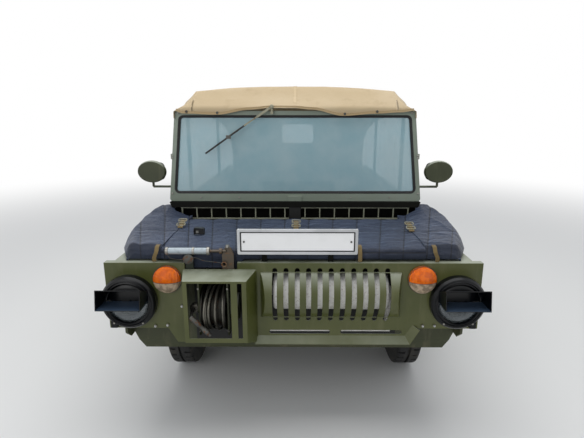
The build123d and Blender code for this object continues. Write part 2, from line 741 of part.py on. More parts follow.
def quilt_wing():
    """Padded cover on the left fender, up to the side of the cowl."""
    inner = QUILT_HALF + QUILT_SPLIT
    low = DECK_Z + SEAT
    plan = [
        (inner, behind(QUILT_FRONT + 12)),
        (QUILT_CORNER_X, behind(QUILT_FRONT + 12)),
        (QUILT_EDGE_X - 40, behind(110)),
        (QUILT_EDGE_X, behind(200)),
        (QUILT_EDGE_X, behind(530)),
        (QUILT_EDGE_X - 46, behind(640)),
        (inner, behind(640)),
    ]
    section = [
        (inner, low),
        (inner, QUILT_TOP_REAR_Z - 4),
        (QUILT_EDGE_X - 40, QUILT_TOP_REAR_Z - 6),
        (QUILT_EDGE_X - 8, QUILT_TOP_REAR_Z - 26),
        (QUILT_EDGE_X, low),
    ]
    wing = along_z(plan, low, QUILT_TOP_REAR_Z) & along_y(section, behind(0), behind(700))
    shoulder = [(behind(430), low), (behind(430), 930), (behind(690), 998), (behind(704), 990), (behind(704), 901)]
    shoulder += [(behind(652), 901), (behind(652), low)]
    x0 = COWL_HALF_TOP + 4
    raised = along_x(shoulder, x0, QUILT_EDGE_X)
    slope = [(x0, low), (x0, 1010), (x0 + 24, 1002), (QUILT_EDGE_X - 20, 954), (QUILT_EDGE_X - 6, 926), (QUILT_EDGE_X - 6, low)]
    return wing + (raised & along_y(slope, behind(400), behind(720)))


def number_plate():
    """Blank plate in its holder."""
    x = (PLATE_X - PLATE_SIZE[0] / 2, PLATE_X + PLATE_SIZE[0] / 2)
    plate = block(x, (behind(PLATE_FRONT), behind(PLATE_FRONT + PLATE_THICK)), (PLATE_LOW_Z, PLATE_LOW_Z + PLATE_SIZE[1]))
    return fillet(plate.edges().filter_by(Axis.Y), 6)


node("engine_lid", engine_lid())
node("lid_quilt", lid_quilt())
node("deck_quilt", both_sides(quilt_wing()))
node("number_plate", number_plate())
NODES["front_deck"] = NODES["front_deck"] + lid_hinges()


# Windscreen
def screen_outline(inset, foot_inset):
    """Outline of the windscreen as (x, z), moved inwards by inset, and by foot_inset at its foot."""
    lean = (SCREEN_FOOT_HALF - SCREEN_TOP_HALF) / (SCREEN_TOP_Z - SCREEN_FOOT_Z)
    low = SCREEN_FOOT_Z + foot_inset
    high = SCREEN_TOP_Z - inset
    foot = SCREEN_FOOT_HALF - lean * foot_inset - inset
    top = SCREEN_TOP_HALF + lean * inset - inset
    return [(-foot, low), (-top, high), (top, high), (foot, low)]


SCREEN_Y = (behind(SCREEN_BACK), behind(SCREEN_BACK + SCREEN_DEEP))
SCREEN_SILL = 44.0


def windscreen_frame():
    """Flat tapered frame with rounded corners and its two side latches."""
    outer = along_y(screen_outline(0, -1.7), *SCREEN_Y)
    outer = fillet(outer.edges().filter_by(Axis.Y), 16)
    inner = along_y(screen_outline(SCREEN_BAR, SCREEN_SILL), SCREEN_Y[0] - 5, SCREEN_Y[1] + 5)
    inner = fillet(inner.edges().filter_by(Axis.Y), 30)
    frame = outer - inner
    frame += block((-40, 40), (SCREEN_Y[0] - 10, SCREEN_Y[0]), (SCREEN_FOOT_Z, SCREEN_FOOT_Z + 30))
    for side in (-1, 1):
        x = side * (SCREEN_TOP_HALF + 26)
        frame += block((x - 12, x + 12), SCREEN_Y, (1262, 1292))
    return frame


def windscreen_glass():
    """Flat pane seated in the frame."""
    y = (SCREEN_Y[0] + 8, SCREEN_Y[0] + 8 + GLASS_THICK)
    pane = along_y(screen_outline(SCREEN_BAR + SEAT, SCREEN_SILL + SEAT), *y)
    return fillet(pane.edges().filter_by(Axis.Y), 30)


def wiper():
    """Wiper hung from the header, with its arm and blade parked across the glass."""
    pivot = (-130.0, 1560.0)
    knee = (-384.0, 1391.0)
    blade = [(-277.0, 1462.0), (-516.0, 1297.0)]
    y = SCREEN_Y[0] - 28
    arm = rod((pivot[0], SCREEN_Y[0] - 36, 1526), (pivot[0], SCREEN_Y[0], 1526), 9)
    arm += rod((pivot[0], y, 1526), (pivot[0], y, pivot[1]), 6)
    arm += rod((pivot[0], y, pivot[1]), (knee[0], y, knee[1]), 4.5)
    return arm + rod((blade[0][0], y, blade[0][1]), (blade[1][0], y, blade[1][1]), 7)


def mirror_left():
    """Round-backed mirror on its arm from the windscreen frame."""
    x = 845.0
    z = 1188.0
    y = SCREEN_Y[0] + 6
    shell = Pos(x, y, z) * Rot(90, 0, 0) * extrude(Ellipse(84, 65), amount=14, taper=20)
    back = Pos(x, y, z) * Rot(-90, 0, 0) * extrude(Ellipse(84, 65), amount=10)
    arm_z = 1098.0
    start = SCREEN_FOOT_HALF - (SCREEN_FOOT_HALF - SCREEN_TOP_HALF) * (arm_z - SCREEN_FOOT_Z) / 520
    arm = rod((start + 1.2, y + 12, arm_z), (x, y + 12, arm_z), 7)
    arm += rod((x, y + 12, arm_z), (x, y + 12, z), 7)
    return shell + back + arm


node("windscreen_frame", windscreen_frame())
node("windscreen_glass", windscreen_glass())
node("wiper", wiper())
node("mirrors", both_sides(mirror_left()))


# Canvas top and its bows
def canvas_form(inset):
    """Outer form of the canvas top, moved inwards by inset."""
    top = ROOF_TOP_Z - inset
    side = [
        (behind(CANVAS_FRONT) + inset, 800),
        (behind(CANVAS_FRONT) + inset, SCREEN_TOP_Z + 22 - inset),
        (behind(CANVAS_BOW) - 60, top - 4),
        (behind(CANVAS_BOW) + 60, top),
        (behind(CANVAS_REAR) - 60, top - 14),
        (behind(CANVAS_REAR) + 20 - inset, top - 60),
        (behind(CANVAS_FOOT) - inset, GUNWALE_Z + SEAT),
        (behind(CANVAS_FOOT) - inset, 800),
    ]
    half = CANVAS_HALF - inset
    crown = ThreePointArc((-CANVAS_SHOULDER_X, CANVAS_SHOULDER_Z - inset), (0, top), (CANVAS_SHOULDER_X, CANVAS_SHOULDER_Z - inset))
    rest = Polyline((CANVAS_SHOULDER_X, CANVAS_SHOULDER_Z - inset), (half - 14, CANVAS_EAVE_Z + 60), (half, CANVAS_EAVE_Z),
                    (half, 800), (-half, 800), (-half, CANVAS_EAVE_Z), (-half + 14, CANVAS_EAVE_Z + 60),
                    (-CANVAS_SHOULDER_X, CANVAS_SHOULDER_Z - inset))
    section = extrude(Plane.XZ.offset(-behind(3500)) * make_face([crown, rest]), amount=3400)
    return along_x(side, -900, 900) & section


def side_opening():
    """Cutter for the large open sides, with its curved rear edge."""
    front = behind(CANVAS_FRONT - 20)
    top = CANVAS_EAVE_Z - 24
    path = Polyline((behind(2600), 800), (front, 800), (front, top), (behind(1650), top))
    curve = ThreePointArc((behind(1650), top), (behind(2560), 1365), (behind(2880), 1130))
    back = ThreePointArc((behind(2880), 1130), (behind(2800), 930), (behind(2600), 800))
    face = Plane.YZ.offset(-900) * make_face([path, curve, back])
    return extrude(face, amount=1800)


def canvas_top():
    """Canvas roof and rear curtain with open sides, an open front and a rear window."""
    shell = canvas_form(0) - canvas_form(CANVAS)
    shell &= block(ACROSS, (-2000, 2000), (GUNWALE_Z + SEAT, 1800))
    front = block((-660, 660), (behind(600), behind(CANVAS_BOW)), (700, SCREEN_TOP_Z + 2))
    shell = shell - side_opening() - front
    shell -= block(ACROSS, (behind(600), SCREEN_Y[1] + SEAT), (700, SCREEN_TOP_Z + SEAT))
    window = Pos(0, behind(3100), 1300) * Rot(90, 0, 0) * extrude(RectangleRounded(362, 222, 45), amount=300, both=True)
    return shell - window


def top_bow(distance):
    """Bent tube bow under the canvas, standing on the gunwales."""
    y = behind(distance)
    half = CANVAS_HALF - CANVAS - BOW_R - 3
    shoulder_x = CANVAS_SHOULDER_X - 12
    crown = ROOF_TOP_Z - CANVAS - BOW_R - 24
    shoulder_z = CANVAS_SHOULDER_Z - CANVAS - BOW_R - 24
    line = FilletPolyline((-half, y, GUNWALE_Z), (-half, y, CANVAS_EAVE_Z - 10), (-shoulder_x, y, shoulder_z),
                          (0, y, crown), (shoulder_x, y, shoulder_z), (half, y, CANVAS_EAVE_Z - 10),
                          (half, y, GUNWALE_Z), radius=60)
    return sweep(Plane(origin=(-half, y, GUNWALE_Z), z_dir=(0, 0, 1)) * Circle(BOW_R), path=line)


node("canvas_top", canvas_top())
node("top_bows", Compound(children=[top_bow(place) for place in BOW_PLACES]))

# Cable guide over the winch
def cable_guide():
    """Post, roller tube, screw rod and bracket over the winch, on a bar across its side plates."""
    y = SHIELD_Y + 4
    back = (SHIELD_Y + SHEET + 1, SHIELD_Y + 18)
    bar_z = GUIDE_Z
    guide = block((NOTCH_X[0] + 4, -272), back, (bar_z, bar_z + 14))
    guide += block((NOTCH_X[0] + 4, -452), back, (bar_z + 2, 912))
    guide += disc_x(-571, -375, y, 922, 15)
    guide += disc_x(-376, -300, y, 922, 6)
    bracket = along_y([(-320, bar_z), (-320, 905), (-306, 936), (-280, 936), (-268, 905), (-268, bar_z)], *back)
    guide += bracket
    guide += disc_x(-330, -318, y, 922, 13)
    guide -= rod((-310, y - 10, 862), (-310, y + 20, 862), 9)
    return guide


node("cable_guide", cable_guide())


# Wheels
def spun_x(points, x, y):
    """Solid of a (u, radius) outline turned about a wheel axle on the left side."""
    face = make_face(Polyline(*points, close=True))
    return Pos(x, y, TYRE_R) * revolve(face, axis=Axis.X)


def tread_grooves(crown):
    """Cutters between the shoulder lugs of a tyre, staggered from one side to the other."""
    cutter = Pos(crown - GROOVE_REACH / 2 + 20, 0, TYRE_R) * Box(GROOVE_REACH, GROOVE_WIDTH, 2 * TREAD_DEPTH)
    step = 360 / LUGS
    left = [Rot(index * step, 0, 0) * cutter for index in range(LUGS)]
    right = [Rot((index + 0.5) * step, 0, 0) * mirrored(cutter) for index in range(LUGS)]
    return left + right


def tyre():
    """Tyre about the X axis, with its lugs and the groove round the middle of its tread."""
    half = TYRE_WIDTH / 2
    bead = RIM_WIDTH / 2 - RIM_WALL - SEAT
    bore = RIM_R + SEAT
    crown = half - 18
    root = TYRE_R - TREAD_DEPTH
    line = Polyline((-crown, TYRE_R - 3), (-crown + 8, TYRE_R), (-GROOVE_WIDTH / 2, TYRE_R), (-GROOVE_WIDTH / 2, root),
                    (GROOVE_WIDTH / 2, root), (GROOVE_WIDTH / 2, TYRE_R), (crown - 8, TYRE_R), (crown, TYRE_R - 3))
    heel = RIM_R + 14
    left = ThreePointArc((crown, TYRE_R - 3), (half, (TYRE_R + bore) / 2 + 8), (bead, heel))
    foot = Polyline((bead, heel), (bead, bore), (-bead, bore), (-bead, heel))
    right = ThreePointArc((-bead, heel), (-half, (TYRE_R + bore) / 2 + 8), (-crown, TYRE_R - 3))
    carcass = revolve(make_face([line, left, foot, right]), axis=Axis.X)
    return carcass - tread_grooves(crown)


def rim(y):
    """Left steel wheel: barrel, dished disc with vents, brake drum and hub."""
    half = RIM_WIDTH / 2
    outline = [
        (-half, RIM_R + 12),
        (-half + RIM_WALL, RIM_R + 12),
        (-half + RIM_WALL, RIM_R),
        (half - RIM_WALL, RIM_R),
        (half - RIM_WALL, RIM_R + 12),
        (half, RIM_R + 12),
        (half, RIM_R - RIM_WALL),
        (24, RIM_R - RIM_WALL),
        (30, 96),
        (14, 82),
        (14, 50),
        (HUB_OUT, 44),
        (HUB_OUT + 6, 30),
        (HUB_OUT + 6, 0),
        (2, 0),
        (2, SPINDLE_R + RUN),
        (-DRUM_IN, SPINDLE_R + RUN),
        (-DRUM_IN, BRAKE_R),
        (-6, BRAKE_R),
        (-6, 60),
        (6, 60),
        (6, 88),
        (20, 100),
        (16, RIM_R - RIM_WALL),
        (-half, RIM_R - RIM_WALL),
    ]
    wheel = spun_x(outline, WHEEL_X, y)
    for index in range(VENT_COUNT):
        angle = radians(360 / VENT_COUNT * index)
        hole = (y + VENT_CIRCLE * cos(angle), TYRE_R + VENT_CIRCLE * sin(angle))
        wheel -= rod((WHEEL_X + 5, *hole), (WHEEL_X + 45, *hole), VENT_R)
    return wheel


WHEEL_PLACES = [("front", AXLE_FRONT_Y), ("rear", AXLE_REAR_Y)]   # name, axle y
TYRE = tyre()

for END, AXLE_Y in WHEEL_PLACES:
    LEFT_TYRE = Pos(WHEEL_X, AXLE_Y, TYRE_R) * TYRE
    LEFT_RIM = rim(AXLE_Y)
    node(f"tyre_{END}_left", LEFT_TYRE)
    node(f"tyre_{END}_right", mirrored(LEFT_TYRE))
    node(f"rim_{END}_left", LEFT_RIM)
    node(f"rim_{END}_right", mirrored(LEFT_RIM))


# Trailing arms, knuckles and hubs
def torsion_tube(axle_y, arm_x):
    """Torsion bar tube under the floor with a boss at each end."""
    y = axle_y - ARM_LENGTH
    return disc_x(-arm_x[1], arm_x[1], y, TORSION_Z, TORSION_R)


def trailing_arm(axle_y, arm_x):
    """Left trailing arm from the torsion tube to the axle."""
    y = axle_y - ARM_LENGTH
    boss = disc_x(arm_x[0], arm_x[1], y, TORSION_Z, BOSS_R)
    beam = [(y, TORSION_Z - 26), (y, TORSION_Z + 26), (axle_y + 30, TYRE_R + 34), (axle_y + 30, TYRE_R - 28)]
    return boss + along_x(beam, *arm_x)


def front_arm():
    """Left front arm with the yoke that holds the kingpin, and its half shaft."""
    y = AXLE_FRONT_Y
    arm = trailing_arm(y, FRONT_ARM_X)
    arm += block((FRONT_ARM_X[0], YOKE_X[1]), (y - 30, y + 30), (TYRE_R - 24, TYRE_R + 26))
    ears = KNUCKLE_HALF + 14
    arm += block(YOKE_X, (y - 30, y + 30), (TYRE_R - ears, TYRE_R + ears))
    for side in (-1, 1):
        z = sorted((TYRE_R + side * KNUCKLE_HALF, TYRE_R + side * ears))
        arm += block((YOKE_X[0], KINGPIN_X), (y - 22, y + 22), z)
        arm += rod((KINGPIN_X, y, z[0]), (KINGPIN_X, y, z[1]), 22)
    shaft_z = TYRE_R + PORTAL_UP
    arm += disc_x(ARCH_FRONT_IN, YOKE_X[0] + 2, y, shaft_z, SHAFT_R)
    arm += disc_x(ARCH_FRONT_IN, ARCH_FRONT_IN + 50, y, shaft_z, SHAFT_R + 16)
    return arm


def knuckle():
    """Left steering knuckle: kingpin, hub case, steering lever, backing plate and spindle."""
    y = AXLE_FRONT_Y
    reach = KNUCKLE_HALF - RUN
    part = rod((KINGPIN_X, y, TYRE_R - reach), (KINGPIN_X, y, TYRE_R + reach), KINGPIN_R)
    part += disc_x(KINGPIN_X - 24, BACKING_X[0], y, TYRE_R, 52)
    part += block((KINGPIN_X - 35, KINGPIN_X - 10), (y, y + 96), (TYRE_R - 74, TYRE_R - 58))
    part += disc_x(*BACKING_X, y, TYRE_R, BRAKE_R)
    return part + disc_x(BACKING_X[1], WHEEL_X, y, TYRE_R, SPINDLE_R)


def rear_arm():
    """Left rear arm with its hub case, backing plate, spindle and half shaft."""
    y = AXLE_REAR_Y
    arm = trailing_arm(y, REAR_ARM_X)
    arm += disc_x(REAR_ARM_X[0], BACKING_X[0], y, TYRE_R, 62)
    arm += disc_x(REAR_ARM_X[0], REAR_ARM_X[1] + 10, y, TYRE_R + PORTAL_UP, 44)
    arm += disc_x(*BACKING_X, y, TYRE_R, BRAKE_R)
    arm += disc_x(BACKING_X[1], WHEEL_X, y, TYRE_R, SPINDLE_R)
    return arm + disc_x(ARCH_REAR_IN, REAR_ARM_X[0] + 2, y, TYRE_R + PORTAL_UP, SHAFT_R)


LEFT_FRONT_ARM = front_arm()
LEFT_REAR_ARM = rear_arm()
LEFT_KNUCKLE = knuckle()
node("front_arms", LEFT_FRONT_ARM + mirrored(LEFT_FRONT_ARM) + torsion_tube(AXLE_FRONT_Y, FRONT_ARM_X))
node("rear_arms", LEFT_REAR_ARM + mirrored(LEFT_REAR_ARM) + torsion_tube(AXLE_REAR_Y, REAR_ARM_X))
node("knuckle_left", LEFT_KNUCKLE)
node("knuckle_right", mirrored(LEFT_KNUCKLE))


# Driver's place
STEER_CENTRE = Vector(0, behind(STEER_BACK), STEER_Z)
COLUMN_FOOT = Vector(0, behind(860), 524)
COLUMN_LINE = (STEER_CENTRE - COLUMN_FOOT).normalized()


def steering_wheel():
    """Thin rim, three spokes and hub, at right angles to the column."""
    plane = Plane(origin=STEER_CENTRE, x_dir=(1, 0, 0), z_dir=COLUMN_LINE)
    ring = plane * Torus(STEER_R - STEER_RIM_R, STEER_RIM_R)
    wheel = ring + plane * Pos(0, 0, -14) * Cylinder(26, 40)
    for angle in (90, 210, 330):
        spoke = Pos(0, 0, -2) * Rot(0, 0, angle) * Pos((STEER_R - STEER_RIM_R) / 2, 0, 0) * Box(STEER_R - 16, 16, 7)
        wheel += plane * spoke
    return wheel


def steering_column():
    """Column tube on its box, with its brace from the dashboard."""
    top = STEER_CENTRE - COLUMN_LINE * (34 + RUN)
    column = rod(tuple(COLUMN_FOOT), tuple(top), COLUMN_R)
    column += block((-55, 55), (behind(BULKHEAD + 12), behind(890)), (470, 570))
    middle = COLUMN_FOOT + COLUMN_LINE * 330
    return column + rod((0, behind(815), 758), tuple(middle), 10)


def dashboard():
    """Instrument box behind the windscreen with a curved hood, on its foot."""
    outline = [(behind(776), 770), (behind(776), 985), (behind(876), 992), (behind(852), 960), (behind(838), 770)]
    box = along_x(outline, -240, 240)
    return box + block((-200, 200), (behind(BULKHEAD + WALL), behind(777)), (790, 880))


SEATS = [(0, 1560, 210), (512, 1640, 152), (-512, 1640, 152)]   # middle x, front behind shield, half width


def seat_pads(x, front, half):
    """Seat cushion and reclined back pad."""
    cushion = block((x - half, x + half), (behind(front), behind(front + 400)), (SEAT_Z, SEAT_Z + 90))
    foot = front + SEAT_BACK_FOOT - SEAT
    top = front + SEAT_BACK_TOP - SEAT
    back = [(foot - 62, SEAT_Z + 100), (top - 50, SEAT_TOP_Z), (top, SEAT_TOP_Z), (foot, SEAT_Z + 100)]
    pad = along_x([(behind(y), z) for y, z in back], x - half + 6, x + half - 6)
    return [fillet(cushion.edges().filter_by(Axis.Z), 30), pad]


def seat_frame(x, front, half):
    """Pan, back sheet and four legs of a seat."""
    frame = block((x - half, x + half), (behind(front), behind(front + 440)), (SEAT_Z - 8, SEAT_Z - SEAT))
    foot = front + SEAT_BACK_FOOT
    top = front + SEAT_BACK_TOP
    back = [(foot - 3, SEAT_Z - 8), (foot, SEAT_Z + 100), (top, SEAT_TOP_Z)]
    back += [(top + 7, SEAT_TOP_Z), (foot + 7, SEAT_Z + 100), (foot + 5, SEAT_Z - 8)]
    frame += along_x([(behind(y), z) for y, z in back], x - half, x + half)
    for leg_x in (x - half + 24, x + half - 24):
        for leg_y in (front + 40, front + 380):
            frame += rod((leg_x, behind(leg_y), FLOOR_Z + WALL), (leg_x, behind(leg_y), SEAT_Z - 4), 11)
    return frame


node("steering_wheel", steering_wheel())
node("steering_column", steering_column())
node("dashboard", dashboard())
node("driver_seat", Compound(children=seat_pads(*SEATS[0])))
node("passenger_seats", Compound(children=seat_pads(*SEATS[1]) + seat_pads(*SEATS[2])))
node("seat_frames", Compound(children=[seat_frame(*row) for row in SEATS]))


# Tail
def tailgate():
    """Drop tailgate with two pressed ribs and its hinge barrels."""
    half = GATE_HALF - GATE_GAP
    y = (TAIL_Y - WALL, TAIL_Y - WALL + GATE_THICK)
    gate = block((-half, half), y, (GATE_LOW_Z + GATE_GAP, GUNWALE_Z - 3))
    for z in (640, 760):
        gate += block((-half + 60, half - 60), (y[1], y[1] + 8), (z - 22, z + 22))
    for x in (-GATE_HINGE_X, GATE_HINGE_X):
        gate += disc_x(x - 30, x + 30, GATE_HINGE_Y, GATE_HINGE_Z, GATE_BARREL_R)
        gate += block((x - 30, x + 30), (y[1] - 4, GATE_HINGE_Y), (GATE_HINGE_Z, GATE_HINGE_Z + 24))
        gate -= disc_x(x - 40, x + 40, GATE_HINGE_Y, GATE_HINGE_Z, GATE_PIN_R + RUN)
    return gate


def tail_fittings():
    """Hinge lugs with their pins, and the towing eye, on the tail panel and the stern."""
    fittings = []
    for x in (-GATE_HINGE_X, GATE_HINGE_X):
        lug = disc_x(x - 45, x + 45, GATE_HINGE_Y, GATE_HINGE_Z, GATE_PIN_R)
        for start in (x - 45, x + 32):
            lug += disc_x(start, start + 13, GATE_HINGE_Y, GATE_HINGE_Z, GATE_BARREL_R)
            lug += block((start, start + 13), (TAIL_Y + SEAT, GATE_HINGE_Y), (GATE_HINGE_Z - 22, GATE_HINGE_Z))
        fittings.append(lug)
    eye = block((-60, 60), (TAIL_Y + SEAT, TAIL_Y + 10), (STERN_KNEE_Z - 6, STERN_KNEE_Z + 22))
    eye += along_x([(TAIL_Y - 60, 470), (TAIL_Y + 10, 470), (TAIL_Y + 10, 540), (TAIL_Y + 1, 540), (TAIL_Y + 1, 519)],
                   -60, 60)
    eye += block((-9, 9), (TAIL_Y + 8, LENGTH / 2), (470, 512))
    eye -= disc_x(-20, 20, LENGTH / 2 - 20, 491, EYE_R)
    return Compound(children=fittings + [eye])


def tail_lamp(x):
    """Square tail lamp on the tail panel."""
    lamp = block((x - 45, x + 45), (TAIL_Y + SEAT, TAIL_Y + 40), (770, 850))
    return fillet(lamp.faces().sort_by(Axis.Y)[-1].edges(), 8)


def ramp():
    """Perforated loading ramp lying on the left gunwale."""
    x = (RAMP_X[0], RAMP_X[1])
    plank = block(x, (behind(RAMP_SPAN[0]), behind(RAMP_SPAN[1])), (GUNWALE_Z + SEAT, GUNWALE_Z + RAMP_HIGH))
    plank -= block((x[0] + 4, x[1] - 4), (behind(RAMP_SPAN[0]) - 1, behind(RAMP_SPAN[1]) + 1),
                   (GUNWALE_Z, GUNWALE_Z + RAMP_HIGH - 4))
    pitch = (RAMP_SPAN[1] - RAMP_SPAN[0]) / RAMP_HOLES
    for index in range(RAMP_HOLES):
        y = behind(RAMP_SPAN[0] + (index + 0.5) * pitch)
        hole = Pos((x[0] + x[1]) / 2, y, GUNWALE_Z) * extrude(RectangleRounded(70, pitch * 0.6, 20), amount=80)
        plank -= hole
    return plank


node("tailgate", tailgate())
node("tail_fittings", tail_fittings())
node("tail_lamps", both_sides(tail_lamp(650)))
node("loading_ramps", both_sides(ramp()))


for NAME, SHAPE in NODES.items():
    export_step(SHAPE, f"parts/{NAME}.step")
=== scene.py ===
"""Finishes, soft covers and small fittings of a light amphibious army 4x4, dressed over its fixed frame.

Metres, +Z up, the front faces -Y and +X is the vehicle's left, as in the frame.
"""
import sys

import logging
import math
from dataclasses import dataclass
from enum import Enum
from itertools import pairwise
from typing import Iterable, Sequence

import bmesh
import bpy
from bpy.types import Material, Mesh, NodeSocket, Object
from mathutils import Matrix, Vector, noise
from mathutils.bvhtree import BVHTree


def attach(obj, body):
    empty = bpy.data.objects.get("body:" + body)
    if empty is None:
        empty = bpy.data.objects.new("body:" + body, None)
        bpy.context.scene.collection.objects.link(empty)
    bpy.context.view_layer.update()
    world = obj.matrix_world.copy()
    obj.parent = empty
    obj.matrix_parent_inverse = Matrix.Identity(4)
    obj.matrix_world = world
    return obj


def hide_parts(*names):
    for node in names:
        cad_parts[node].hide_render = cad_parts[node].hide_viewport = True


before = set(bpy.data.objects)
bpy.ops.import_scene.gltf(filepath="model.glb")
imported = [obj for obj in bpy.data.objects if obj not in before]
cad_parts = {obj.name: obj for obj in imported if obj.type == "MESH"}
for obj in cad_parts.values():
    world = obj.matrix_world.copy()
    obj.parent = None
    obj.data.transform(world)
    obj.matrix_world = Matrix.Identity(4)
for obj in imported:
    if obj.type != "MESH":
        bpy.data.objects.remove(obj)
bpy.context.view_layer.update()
LOG = logging.getLogger("army_car")

Colour = tuple[float, float, float]
Pair = tuple[float, float]
Row = list[Vector]
SHIELD_Y = -1.691
X, Y, Z = Vector((1, 0, 0)), Vector((0, 1, 0)), Vector((0, 0, 1))
SMOOTH_ANGLE = math.radians(38)
CLOTH_ANGLE = math.radians(70)
NAMES = {-1: "right", 1: "left"}
SEAM_FAN = 0.50  # how much wider the cover's channels get in a metre towards the rear


def behind(distance: float) -> float:
    """Y of a place that is given as a distance behind the front shield."""
    return SHIELD_Y + distance


def at(x: float, distance: float, z: float) -> Vector:
    """Point that is given with its distance behind the front shield."""
    return Vector((x, behind(distance), z))


def rectangle(low: Pair, high: Pair, y: float) -> Row:
    """Corners of an upright rectangle between two (x, z) places, in order round it."""
    return [Vector((x, y, z)) for x, z in (low, (high[0], low[1]), high, (low[0], high[1]))]


def plan(low: Pair, high: Pair, z: float) -> Row:
    """Corners of a level rectangle between two (x, y) places, in order round it."""
    return [Vector((x, y, z)) for x, y in (low, (high[0], low[1]), high, (low[0], high[1]))]


def srgb(red: int, green: int, blue: int) -> Colour:
    """Linear colour of the three display values from 0 to 255."""
    return tuple((value / 255) ** 2.2 for value in (red, green, blue))


# The second colour here is dust, and on up-facing paint it is also a painted sky sheen.
DIRT, DUST_AND_SHEEN, RUST, HAZE = srgb(150, 142, 118), srgb(186, 192, 178), srgb(112, 70, 42), srgb(205, 208, 202)


def ease(value: float, low: float, high: float) -> float:
    """Smooth step of a value from 0 at low to 1 at high."""
    share = min(1.0, max(0.0, (value - low) / (high - low)))
    return share * share * (3 - 2 * share)


def soften(first: float, second: float, width: float) -> float:
    """Lower of two heights, rounded over a width where they cross."""
    share = min(1.0, max(0.0, 0.5 + (second - first) / (2 * width)))
    return second + (first - second) * share - width * share * (1 - share)


def along(table: Sequence[tuple[float, float]], place: float) -> float:
    """Value of a short table of (place, value) at a place, eased between its rows."""
    if place <= table[0][0]:
        return table[0][1]
    for (x0, v0), (x1, v1) in pairwise(table):
        if place <= x1:
            return v0 + (v1 - v0) * ease(place, x0, x1)
    return table[-1][1]


def straight(table: Sequence[tuple[float, float]], place: float) -> float:
    """Value of a short table of (place, value) at a place, on straight lines between its rows."""
    if place <= table[0][0]:
        return table[0][1]
    for (x0, v0), (x1, v1) in pairwise(table):
        if place <= x1:
            return v0 + (v1 - v0) * (place - x0) / (x1 - x0)
    return table[-1][1]


def rough(point: Vector, scale: float, seed: float = 0.0) -> float:
    """Noise from -1 to 1 at a point, with a number of waves to the metre."""
    return noise.noise(point * scale + Vector((seed, seed * 1.7, -seed)))


